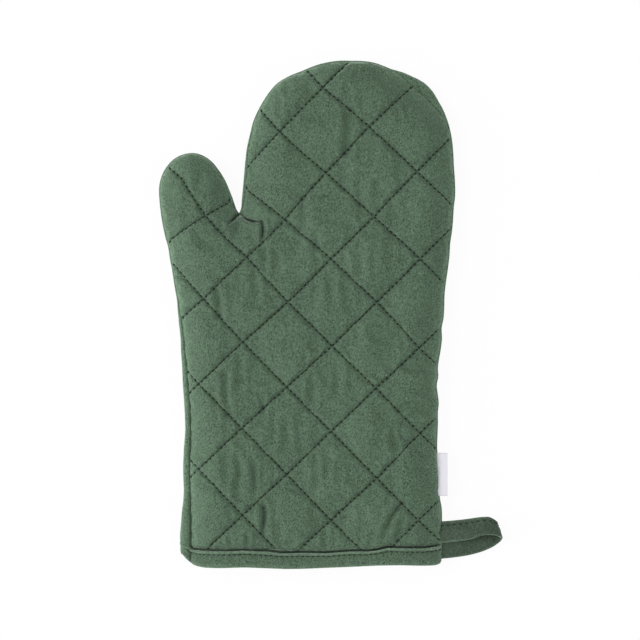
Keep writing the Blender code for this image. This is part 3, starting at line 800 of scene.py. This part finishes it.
def split(name, vertices, faces, layer, painted_light):
    """A cloth's piece for the hand and fingers and its piece for the thumb."""
    pieces = []
    for part, chosen in by_part(vertices[:, :2], faces):
        own, own_faces, own_painted_light = compact(vertices, chosen, painted_light)
        piece = new_piece(f"{name}_{LABELS[part]}", own, own_faces, cotton, own_painted_light)
        thicken(piece, CLOTH)
        pieces.append(place_layer(piece, part, layer))
    return pieces


# Materials

def fill(tree, item, inputs):
    """Each input gets its value, or a link from the output that is given for it."""
    for name, value in inputs.items():
        if isinstance(value, bpy.types.NodeSocket):
            tree.links.new(value, item.inputs[name])
        else:
            item.inputs[name].default_value = value


def node(tree, kind, inputs=None, output=0, **settings):
    """An output of a new node."""
    made = tree.nodes.new(kind)
    for name, value in settings.items():
        setattr(made, name, value)
    fill(tree, made, inputs or {})
    return made.outputs[output]


def reckon(tree, operation, *values, **settings):
    return node(tree, "ShaderNodeMath", dict(enumerate(values)), operation=operation, **settings)


def weigh(tree, parts):
    """The sum of several noises, each about its own middle and times its own weight."""
    terms = [reckon(tree, "MULTIPLY_ADD", source, weight, -weight / 2) for source, weight in parts]
    total = terms[0]
    for term in terms[1:]:
        total = reckon(tree, "ADD", total, term)
    return total


def ramp(tree, source, low, high):
    """The colour between two that a value picks."""
    made = tree.nodes.new("ShaderNodeValToRGB")
    for element, colour in zip(made.color_ramp.elements, (low, high)):
        element.color = (*colour, 1)
    fill(tree, made, {"Fac": source})
    return made.outputs["Color"]


def blank_material(name):
    material = bpy.data.materials.new(name)
    material.use_nodes = True
    tree = material.node_tree
    return material, tree, tree.nodes["Principled BSDF"]


def cloth_material(
        name, colour, twill=2250.0, mottle=1.65, cloud=0.14, bump=0.8, sheen=1.0, rough=0.88):
    """Woven cotton: diagonal twill lines, uneven yarn, soft clouds in the dye and a dull sheen; an
    attribute paints highlight and shade into it.
    """
    material, tree, shader = blank_material(name)
    place = node(tree, "ShaderNodeTexCoord", output="Object")
    slanting = node(tree, "ShaderNodeMapping", {
        "Rotation": (0, 0, math.radians(-36)), "Scale": (1, 3.2, 1), "Vector": place,
    }, vector_type="TEXTURE")
    upright = node(tree, "ShaderNodeMapping", {"Scale": (1, 0.16, 1), "Vector": place})
    yarn, slub, grain, clouds = [
        node(tree, "ShaderNodeTexNoise", {
            "Vector": source, "Scale": scale, "Detail": detail, "Roughness": roughness,
        })
        for source, scale, detail, roughness in (
            (slanting, twill, 3.0, 0.6), (upright, twill * 0.42, 2.0, 0.55),
            (place, twill * 0.75, 3.0, 0.6), (place, 46.0, 3.0, 0.55),
        )
    ]
    shade = weigh(tree, [
        (yarn, mottle * 1.5), (slub, mottle * 0.08), (grain, mottle * 0.65), (clouds, cloud * 2),
    ])
    dye = ramp(
        tree, reckon(tree, "ADD", shade, 0.5),
        [max(0.25 * c, 2 * c - 1) for c in colour], [min(1.0, 1.75 * c) for c in colour])
    # Painted light: above 0 a painted highlight that pales the colour, below 0 a painted shade that
    # darkens it and takes its sheen away
    painted_level = node(tree, "ShaderNodeAttribute", output="Fac", attribute_name="painted_light")
    brightened = reckon(tree, "MULTIPLY_ADD", painted_level, PAINTED_LIGHT_GAIN, 1.0)
    sheen_outside_shade = reckon(tree, "ADD", painted_level, 1.0, use_clamp=True)
    relief = weigh(tree, [(yarn, 1.0), (grain, 0.7), (slub, 0.5)])
    fill(tree, shader, {
        "Base Color": node(tree, "ShaderNodeVectorMath", {0: dye, "Scale": brightened}, operation="SCALE"),
        "Normal": node(tree, "ShaderNodeBump", {
            "Strength": bump, "Distance": 0.35 * MM, "Height": relief,
        }),
        "Roughness": node(tree, "ShaderNodeMapRange", {
            "To Min": rough - 0.06, "To Max": rough + 0.06, "Value": grain,
        }),
        "Specular IOR Level": 0.25,
        "Sheen Weight": reckon(tree, "MULTIPLY", sheen_outside_shade, sheen),
        "Sheen Roughness": 0.3,
        "Sheen Tint": (0.75, 0.9, 0.75, 1),
    })
    return material


def thread_material(name, colour):
    """Twisted sewing thread: fine slanting strands and a slight shine."""
    material, tree, shader = blank_material(name)
    strands = node(tree, "ShaderNodeTexWave", {
        "Scale": 1800.0, "Distortion": 2.0, "Detail": 1.0,
        "Vector": node(tree, "ShaderNodeTexCoord", output="Object"),
    }, "Fac", bands_direction="DIAGONAL")
    fill(tree, shader, {
        "Base Color": ramp(tree, strands, [0.6 * c for c in colour], [1.4 * c for c in colour]),
        "Normal": node(tree, "ShaderNodeBump", {
            "Strength": 0.4, "Distance": 0.1 * MM, "Height": strands,
        }),
        "Roughness": 0.8,
        "Specular IOR Level": 0.2,
    })
    return material


cotton = cloth_material("green_twill_cotton", GREEN)
lining_cotton = cloth_material("green_lining_cotton", GREEN_LINING, mottle=1.2)
binding_cotton = cloth_material("green_binding_cotton", GREEN_BINDING)
tape_cotton = cloth_material("green_tape_cotton", GREEN_TAPE, mottle=1.3, cloud=0.4)
wadding_felt = cloth_material("white_wadding_felt", WHITE_WADDING, twill=700.0, mottle=0.1, sheen=0.3)
ribbon_weave = cloth_material(
    "white_satin_ribbon", WHITE_RIBBON, twill=3000.0, mottle=0.06, cloud=0.02, bump=0.15, rough=0.6)
shaded_thread = thread_material("thread_with_painted_hole_shade", THREAD_AND_HOLE_SHADE)


# Panels

def settle(vertices, faces, held):
    """The cloth blown up against its seams, with a little spare cloth that wrinkles."""
    piece = new_piece("cloth_at_rest", vertices, faces, cotton)
    group = piece.vertex_groups.new(name="held")
    for weight in np.unique(held):
        group.add([int(i) for i in np.flatnonzero(held == weight)], float(weight), "REPLACE")
    cloth = piece.modifiers.new("cloth", "CLOTH")
    for name, value in CLOTH_SETTINGS.items():
        setattr(cloth.settings, name, value)
    cloth.settings.effector_weights.gravity = 0
    cloth.collision_settings.use_collision = False
    cloth.collision_settings.use_self_collision = False
    scene = bpy.context.scene
    for number in range(1, CLOTH_STEPS + 1):
        scene.frame_set(number)
    graph = bpy.context.evaluated_depsgraph_get()
    mesh = piece.evaluated_get(graph).to_mesh()
    moved = np.empty(len(vertices) * 3)
    mesh.vertices.foreach_get("co", moved)
    scene.frame_set(1)
    data = piece.data
    bpy.data.objects.remove(piece)
    bpy.data.meshes.remove(data)
    shift = moved.reshape(-1, 3) - vertices
    length = np.linalg.norm(shift, axis=1)
    return vertices + shift * np.minimum(1, CLOTH_RISE / np.maximum(length, 1e-9))[:, None]


def seam_distance(places):
    coordinates = pattern_coordinates(places)
    return (np.abs(coordinates - np.round(coordinates)) * PITCH).min(1)


def band_rows(curve):
    """Rows of points along the binding's edge, so that the cloth can dip sharply there."""
    low, high = curve[0, 0] + EDGE_STEP / 4, curve[-1, 0] - EDGE_STEP / 4
    x = np.linspace(low, high, round((high - low) / EDGE_STEP))
    edge = foot + BAND_TOP + edge_rise(x)
    return [np.stack([x, edge + rise], 1) for rise in BAND_RISES]


def crease_rows():
    """Rows of points along the two sharpest creases, away from the crotch itself."""
    lines = [smooth(to_world(course), 0.7 * MM) for course in SHARP_COURSES]
    return [outset(line, aside * MM) for line in lines for aside in (-1.3, -0.65, 0, 0.65, 1.3)]


def drawn_up(vertices):
    """The vertices moved with the cuff's end."""
    vertices[:, 1] += foot_shift(vertices[:, 0], vertices[:, 1])
    return vertices


def front_highlight_and_shade(places):
    """Painted highlight along the edge, and painted shade deep in the creases and on the strip and lip
    by the binding.
    """
    folded = rise(crease_cut(places), CREASE_SHADE_START, CREASE_SHADE_RISE)
    above = above_band(places)
    tucked = TUCK_SHADE_SHARE * np.exp(-((above - TUCK_PLACE) / BAND_TUCK) ** 4)
    lip = LIP_SHADE_SHARE * np.exp(-((above - LIP_HEIGHT) / LIP_WIDTH) ** 2)
    painted_shade = np.max([folded, tucked, lip], axis=0)
    return edge_highlight(front_curve, places) * (1 - painted_shade) - painted_shade


def front_cloth():
    lines = [parting, *band_rows(front_curve), *crease_rows()]
    places, faces = triangulate(front_curve, CELLS, FRONT_INSETS, lines)
    vertices = np.column_stack([places, front_level(places, creased=True)])
    edge = foot + BAND_TOP + edge_rise(places[:, 0])
    fixed = (seam_distance(places) < 0.1 * MM) | (places[:, 1] < edge + BAND_HOLD)
    fixed |= nearest(front_curve, places) < 0.2 * MM
    vertices = settle(vertices, faces, np.where(fixed, 1.0, 0.0))
    # Painted highlight on its edge, painted shade in its creases and by the binding
    return split("front_cover", drawn_up(vertices), faces, "front_cloth", front_highlight_and_shade(places))


def rim_rings(count):
    """Rings from the back panel's outer edge up and in to the side seam."""
    rings = []
    for step in range(1, count + 1):
        t = step / count
        places = back_curve + (front_curve - back_curve) * (1 - math.cos(math.pi * t)) / 2
        bulge = RIM_BULGE * spreads * math.sin(math.pi * t)
        rings.append(np.column_stack([places, rim_levels + (seam_levels - rim_levels) * t + bulge]))
    return rings


def back_cloth():
    places, faces = triangulate(back_curve, LAYER_CELLS, BACK_INSETS, [parting])
    rows = [np.column_stack([places, back_level(places)])]
    last = [int(np.linalg.norm(places - point, axis=1).argmin()) for point in back_curve]
    total = len(places)
    strips = []
    for ring in rim_rings(BACK_RIM_RINGS):
        current = range(total, total + len(ring))
        rows.append(ring)
        total += len(ring)
        for a, b, c, d in zip(last, last[1:], current[1:], current):
            strips += [(a, b, c), (a, c, d)]
        last = current
    vertices = drawn_up(np.vstack(rows))
    faces = np.vstack([faces[:, ::-1], np.array(strips)])
    # Painted highlight along the back panel's edge
    return split("back_cover", vertices, faces, "back_cloth", edge_highlight(back_curve, vertices))


# Wadding and lining

def body_between(places, faces, top, bottom):
    """Closed mesh between two levels over the same triangles."""
    count = len(places)
    vertices = np.vstack([np.column_stack([places, top]), np.column_stack([places, bottom])])
    walls = []
    for a, b in edge_pairs(faces):
        walls += [(b, a, a + count), (b, a + count, b + count)]
    return vertices, np.vstack([faces, faces[:, ::-1] + count, np.array(walls)])


PANEL_LEVELS = {1: front_level, -1: back_level}


def layer_mesh():
    """The triangles that every wadding and lining is laid over, within the seam allowance."""
    curve = outset(front_curve, -SEAM_ALLOWANCE)
    keep = nearest(front_curve, curve) > SEAM_ALLOWANCE * 0.97
    keep[[0, -1]] = True
    curve = curve[keep]
    curve[[0, -1], 1] = cuff_end
    return triangulate(curve, LAYER_CELLS, LAYER_INSETS, [parting])


def lining_outer(places, side):
    """The face of a lining next to the wadding; side is 1 in the front panel and -1 in the back."""
    dimple = quilt_pull(places, PUFF_SHARE) * LINING_DIMPLE
    level = side * PANEL_LEVELS[side](places, quilted=False) - LINING_DEPTH + dimple
    return side * np.maximum(side * SEAM_LEVEL + HALF_MOUTH + LINING, level)


def lining_inner(places, side):
    return lining_outer(places, side) - side * LINING


def wadding_outer(places, side):
    """Clear of the cloth round about, and in the front panel of its creases too."""
    levels = [side * PANEL_LEVELS[side](places + step) for step in NEIGHBOURS]
    level = np.min(levels, axis=0) - CLOTH - WADDING_GAPS[side]
    if side == 1:
        level -= np.minimum(crease_cut(places, widened=2.6 * MM), 0.9 * WADDING_DEPTH)
    return side * level


def wadding_inner(places, side):
    furthest = side * wadding_outer(places, side) - LEAST_WADDING
    return side * np.minimum(side * lining_outer(places, side) + LAYER_GAP / 2, furthest)


def layer_pieces(layer, side, outer, inner, material):
    pieces = []
    for part, chosen in by_part(*inner_mesh):
        own, own_faces = compact(inner_mesh[0], chosen)
        top, bottom = [outer(own, side), inner(own, side)][::side]
        vertices, closed = body_between(own, own_faces, top, bottom)
        piece = new_piece(f"{layer}_of_{LABELS[part]}", drawn_up(vertices), closed, material)
        pieces.append(place_layer(piece, part, layer))
    return pieces


# Stitches

def quads(a, b, count):
    """Faces between two rings of vertices, which start at a and b."""
    return [(a + k, a + (k + 1) % count, b + (k + 1) % count, b + k) for k in range(count)]


def tube(first, rings, count):
    """Faces along a row of rings, with a cap at either end."""
    starts = [first + ring * count for ring in range(rings)]
    faces = [face for a, b in zip(starts, starts[1:]) for face in quads(a, b, count)]
    caps = [tuple(start + k for k in range(count)) for start in (starts[0], starts[-1])]
    return [*faces, caps[0][::-1], caps[1]]


def level_stitch(start, end, sign):
    """A stitch that is raised upward or downward, square to its own course."""
    start, end = Vector(start), Vector(end)
    along = (end - start).normalized()
    return start, end, along.cross(Vector((0, 0, sign))).normalized().cross(along)


def thread_piece(name, stitches, radius, rise, profile):
    """One mesh of short threads; a stitch is its start, its end and the direction it is raised in."""
    vertices, faces = [], []
    for start, end, up in stitches:
        side = (end - start).normalized().cross(up).normalized()
        faces += tube(len(vertices), len(profile), SIDES)
        for t, share in profile:
            middle = start.lerp(end, t) + up * rise * (1 - (2 * t - 1) ** 4)
            for k in range(SIDES):
                angle = 2 * math.pi * k / SIDES
                out = side * math.cos(angle) + up * math.sin(angle)
                vertices.append(middle + out * radius * share)
    return new_piece(name, vertices, faces, shaded_thread)


def quilt_stitches(curve):
    """Stitches along every seam of the quilting, within the panel and above the cuff's band."""
    found = {"fingers": [], "thumb": []}
    fine = np.arange(-5, 5, 1 / 96)
    for family in (0, 1):
        for line in SEAM_NUMBERS:
            coordinates = np.full((len(fine), 2), float(line))
            coordinates[:, 1 - family] = fine
            track = pattern_place(coordinates)
            keep = inside(curve, track) & (track[:, 1] > foot + BAND_TOP + 0.3 * MM)
            kept = np.flatnonzero(keep & (nearest(curve, track) > 0.35 * MM))
            for run in np.split(kept, np.flatnonzero(np.diff(kept) > 1) + 1):
                if len(run) < LEAST_RUN:
                    continue
                path = track[run]
                at = lengths(path)
                for start in np.arange(0.2 * MM, at[-1] - STITCH * STITCH_SHARE, STITCH):
                    ends = places_at(path, at, [start, start + STITCH * STITCH_SHARE])
                    part = "thumb" if inside(thumb_region, ends.mean(0)[None])[0] else "fingers"
                    found[part].append(ends)
    return found


def add_quilting(panel, curve, level_of, sign):
    for part, runs in quilt_stitches(curve).items():
        places = np.vstack(runs)
        ends = np.column_stack([places, level_of(places) + QUILT_SINK * sign]).reshape(-1, 2, 3)
        stitches = [level_stitch(start, end, sign) for start, end in ends]
        name = f"{panel}_quilting_thread_{LABELS[part]}"
        bend(thread_piece(name, stitches, QUILT_THREAD, QUILT_RAISE, ROUNDED))


# Cuff binding

def cuff_section():
    """Outer face of both panels at the cuff, going over the front and back underneath."""
    halves = []
    for curve, level_of in ((front_curve, front_level), (back_curve[::-1], back_level)):
        x = np.linspace(curve[0, 0], curve[-1, 0], SECTION_POINTS)
        level = level_of(level_row(x, foot + SECTION_ROW), quilted=False)
        halves.append(np.column_stack([x, level]))
    front, back = halves
    front[[0, -1], 1] = seam_levels[0], seam_levels[-1]
    rims = rim_rings(BINDING_RIM_RINGS)[:-1]
    right_rim = [ring[-1, [0, 2]] for ring in reversed(rims)]
    left_rim = [ring[0, [0, 2]] for ring in rims]
    return np.vstack([front, right_rim, back, left_rim])


def offset_loop(loop, distance):
    before, after = np.roll(loop, 1, axis=0), np.roll(loop, -1, axis=0)
    along = (after - before) / np.maximum(np.linalg.norm(after - before, axis=1), 1e-9)[:, None]
    return loop + np.reshape(distance, (-1, 1)) * np.stack([-along[:, 1], along[:, 0]], 1)


def cuff_ring(section, height, shift, x):
    """A section of the cuff at its height, drawn up by the shift at x."""
    y = foot + height * MM
    return np.column_stack([section[:, 0], y + shift(x, y), section[:, 1]])


def add_binding():
    section = cuff_section()
    count = len(section)
    x = section[:, 0]
    low, high = x.min() + MOUTH_INSET, x.max() - MOUTH_INSET
    inner_x = low + (high - low) * (x - x.min()) / np.ptp(x)
    row = level_row(inner_x, foot + SECTION_ROW)
    upper = np.arange(count) < SECTION_POINTS + 3
    inner_z = np.where(upper, lining_inner(row, 1) - MOUTH_GAP, lining_inner(row, -1) + MOUTH_GAP)
    from_end = np.minimum(x - x.min(), x.max() - x)
    flush = FLUSH_SHARE + (1 - FLUSH_SHARE) * rise(from_end, 0, FLUSH_LENGTH)
    # Painted highlight on the band's roll and lower edge, and more of it at the glove's two sides
    at_end = END_HIGHLIGHT * np.exp(-from_end / HIGHLIGHT_FADE)
    rings, painted_light = [], []
    for height, off, painted_level in BINDING_ROWS:
        rings.append(cuff_ring(offset_loop(section, off * flush * MM), height, band_shift, x))
        painted_light.append(np.maximum(painted_level, at_end))
    for height, off in MOUTH_ROWS:
        squeeze = 1 + off * MM / (np.ptp(inner_x) / 2)
        mouth_x = inner_x.mean() + (inner_x - inner_x.mean()) * squeeze
        mouth = np.column_stack([mouth_x, inner_z + np.where(upper, off, -off) * MM])
        rings.append(cuff_ring(mouth, height, foot_shift, mouth_x))
    for height, off in CLOTH_ROWS:
        rings.append(cuff_ring(offset_loop(section, off * MM), height, foot_shift, x))
    vertices = np.vstack(rings)
    starts = [ring * count for ring in range(len(rings))]
    faces = [face for a, b in zip(starts, starts[1:] + starts[:1]) for face in quads(b, a, count)]
    painted_light = np.concatenate([*painted_light, np.zeros(len(vertices) - len(painted_light) * count)])
    piece = new_piece("cuff_binding_strip", vertices, faces, binding_cotton, painted_light)
    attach(piece, "hand")
    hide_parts("cuff_binding")

    groove = offset_loop(section, 0.50 * MM)
    at = lengths(groove)
    height = foot + BINDING_STITCH_ROW
    stitches = []
    for start in np.arange(1.0 * MM, at[-1] - STITCH, STITCH):
        x, z = places_at(groove, at, [start, start + STITCH * BINDING_STITCH_SHARE]).T
        ends = np.column_stack([x, height + band_shift(x, height), z])
        stitches.append(level_stitch(*ends, 1 if z.mean() > SEAM_LEVEL else -1))
    thread = thread_piece(
        "cuff_binding_thread", stitches, BINDING_THREAD, BINDING_RAISE, ROUNDED)
    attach(thread, "hand")
    return piece


# Hanging loop and side label

def fix_normals(piece):
    work = bmesh.new()
    work.from_mesh(piece.data)
    bmesh.ops.recalc_face_normals(work, faces=work.faces)
    work.to_mesh(piece.data)
    work.free()


def tape_edge(share, first):
    """Points round one edge of the tape: share of its width, and offsets across and up."""
    angles = [first + math.pi * k / 6 for k in range(7)]
    return [(share, HALF_TAPE * 0.9 * math.cos(angle), HALF_TAPE * math.sin(angle)) for angle in angles]


def add_loop():
    north, south, level = zip(*LOOP_COURSE)
    course = np.column_stack([to_world(north), to_world(south), np.array(level) * MM])
    fine = smooth(course, 1.0 * MM)
    north, south, level = fine[:, 0:2], fine[:, 2:4], fine[:, 4]
    middle = np.column_stack([(north + south) / 2, level])
    width = np.linalg.norm(south - north, axis=1)
    across = unit(np.column_stack([south - north, np.zeros(len(north))]))
    normal = unit(np.cross(across, unit(np.gradient(middle, axis=0))))
    shape = [
        *tape_edge(-0.5, math.pi / 2), *[(share, 0, -HALF_TAPE) for share in TAPE_SHARES],
        *tape_edge(0.5, -math.pi / 2), *[(share, 0, HALF_TAPE) for share in TAPE_SHARES[::-1]],
    ]
    vertices = []
    for i, place in enumerate(middle):
        for share, side, lift in shape:
            offset = width[i] * share + side
            lift += TAPE_RIPPLE * noise.noise(Vector((i * 0.21, share * 3, 0.5)))
            if abs(share) == 0.5:
                offset -= math.copysign(HALF_TAPE * 0.9, share)
            else:
                depth = TAPE_GROOVE * math.exp(-((share - TAPE_SEAM) / 0.06) ** 2)
                lift -= math.copysign(depth, lift)
            vertices.append(Vector(place) + Vector(across[i]) * offset + Vector(normal[i]) * lift)
    # Painted highlight along the tape's two edges
    painted_light = np.tile([1.0 if abs(share) == 0.5 else 0.0 for share, _, _ in shape], len(middle))
    faces = tube(0, len(middle), len(shape))
    piece = new_piece("hanging_loop_tape", vertices, faces, tape_cotton, painted_light)
    fix_normals(piece)
    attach(piece, "loop")
    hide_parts("hanging_loop")

    at = lengths(middle)
    line = middle + across * (width * TAPE_SEAM)[:, None]
    stitches = []
    for sign in (1, -1):
        track = line + normal * sign * (HALF_TAPE - 0.16 * MM)
        for start in np.arange(2.2 * MM, at[-1] - 4 * MM, TAPE_STITCH_STEP):
            ends = [start, start + TAPE_STITCH]
            up = Vector(places_at(normal, at, ends)[0] * sign).normalized()
            stitches.append((*[Vector(place) for place in places_at(track, at, ends)], up))
    thread = thread_piece("hanging_loop_thread", stitches, TAPE_THREAD, TAPE_RAISE, EVEN)
    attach(thread, "loop")
    return piece


def add_label():
    (x0, y1), (x1, y0) = to_world(list(zip(LABEL_COLUMNS, LABEL_ROWS)))
    flat = np.linspace(x0, x1 - RIBBON_GAP, 9)
    turn = math.pi / 2 - math.pi * np.arange(1, 6) / 6
    path = np.vstack([
        level_row(flat, RIBBON_GAP),
        np.column_stack([flat[-1] + RIBBON_GAP * np.cos(turn), RIBBON_GAP * np.sin(turn)]),
        level_row(flat[::-1], -RIBBON_GAP),
    ])
    ring = np.vstack([outset(path, RIBBON / 2), outset(path, -RIBBON / 2)[::-1]])
    rows = np.linspace(y0, y1, 29)
    vertices = []
    for y in rows:
        wave = RIBBON_WAVE * math.sin((y - y0) / (y1 - y0) * math.pi * 1.3 + 0.4)
        vertices += [(x, y, SEAM_LEVEL + z + wave * (x - x0) / (x1 - x0)) for x, z in ring]
    faces = tube(0, len(rows), len(ring))
    piece = new_piece("side_label_ribbon", vertices, faces, ribbon_weave)
    fix_normals(piece)
    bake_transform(piece)
    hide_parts("side_label")
    return piece


fronts = front_cloth()
backs = back_cloth()
inner_mesh = layer_mesh()
waddings, linings = [], []
for pieces, kind, outer, inner, material in (
    (waddings, "wadding", wadding_outer, wadding_inner, wadding_felt),
    (linings, "lining", lining_outer, lining_inner, lining_cotton),
):
    for panel, side in (("front", 1), ("back", -1)):
        pieces += layer_pieces(f"{panel}_{kind}", side, outer, inner, material)
add_quilting("front", front_curve, front_level, 1)
add_quilting("back", back_curve, back_level, -1)
binding = add_binding()
loop_tape = add_loop()
label_ribbon = add_label()


# Floor, light and camera

def add_floor():
    mesh = bpy.data.meshes.new("floor")
    mesh.from_pydata([(-3, -3, 0), (3, -3, 0), (3, 3, 0), (-3, 3, 0)], [], [(0, 1, 2, 3)])
    floor = add_object("floor", mesh)
    material, tree, shader = blank_material("pale_floor")
    fill(tree, shader, {"Base Color": (FLOOR_GREY, FLOOR_GREY, FLOOR_GREY, 1), "Roughness": 0.9})
    path = tree.nodes.new("ShaderNodeLightPath").outputs
    seen = reckon(tree, "ADD", path["Is Camera Ray"], path["Is Glossy Ray"])
    seen = reckon(tree, "ADD", seen, path["Is Transmission Ray"], use_clamp=True)
    glow = node(tree, "ShaderNodeEmission", {"Strength": 1.0})
    mixed = node(tree, "ShaderNodeMixShader", {
        0: reckon(tree, "MULTIPLY", seen, FLOOR_GLOW), 1: shader.outputs[0], 2: glow,
    })
    fill(tree, tree.nodes["Material Output"], {"Surface": mixed})
    mesh.materials.append(material)


def add_light(name, place, size, power):
    light = bpy.data.lights.new(name, "AREA")
    light.shape = "SQUARE"
    light.size = size
    light.energy = power
    item = add_object(name, light)
    item.location = place
    item.rotation_euler = (-Vector(place)).to_track_quat("-Z", "Y").to_euler()


def add_world():
    world = bpy.data.worlds.new("studio")
    world.use_nodes = True
    white = {"Color": (1, 1, 1, 1), "Strength": WORLD_STRENGTH}
    fill(world.node_tree, world.node_tree.nodes["Background"], white)
    bpy.context.scene.world = world


def add_camera():
    camera = bpy.data.cameras.new("camera")
    camera.lens = LENS
    camera.sensor_width = SENSOR
    item = add_object("camera", camera)
    centre = to_world([PHOTO_CENTRE])[0]
    reach = LENS / SENSOR * PHOTO_SIZE * PIXEL
    item.location = (centre[0], centre[1], FRAME_LEVEL + reach)
    bpy.context.scene.camera = item


add_floor()
for light in LIGHTS:
    add_light(*light)
add_world()
add_camera()
bpy.context.scene.view_settings.view_transform = "Standard"
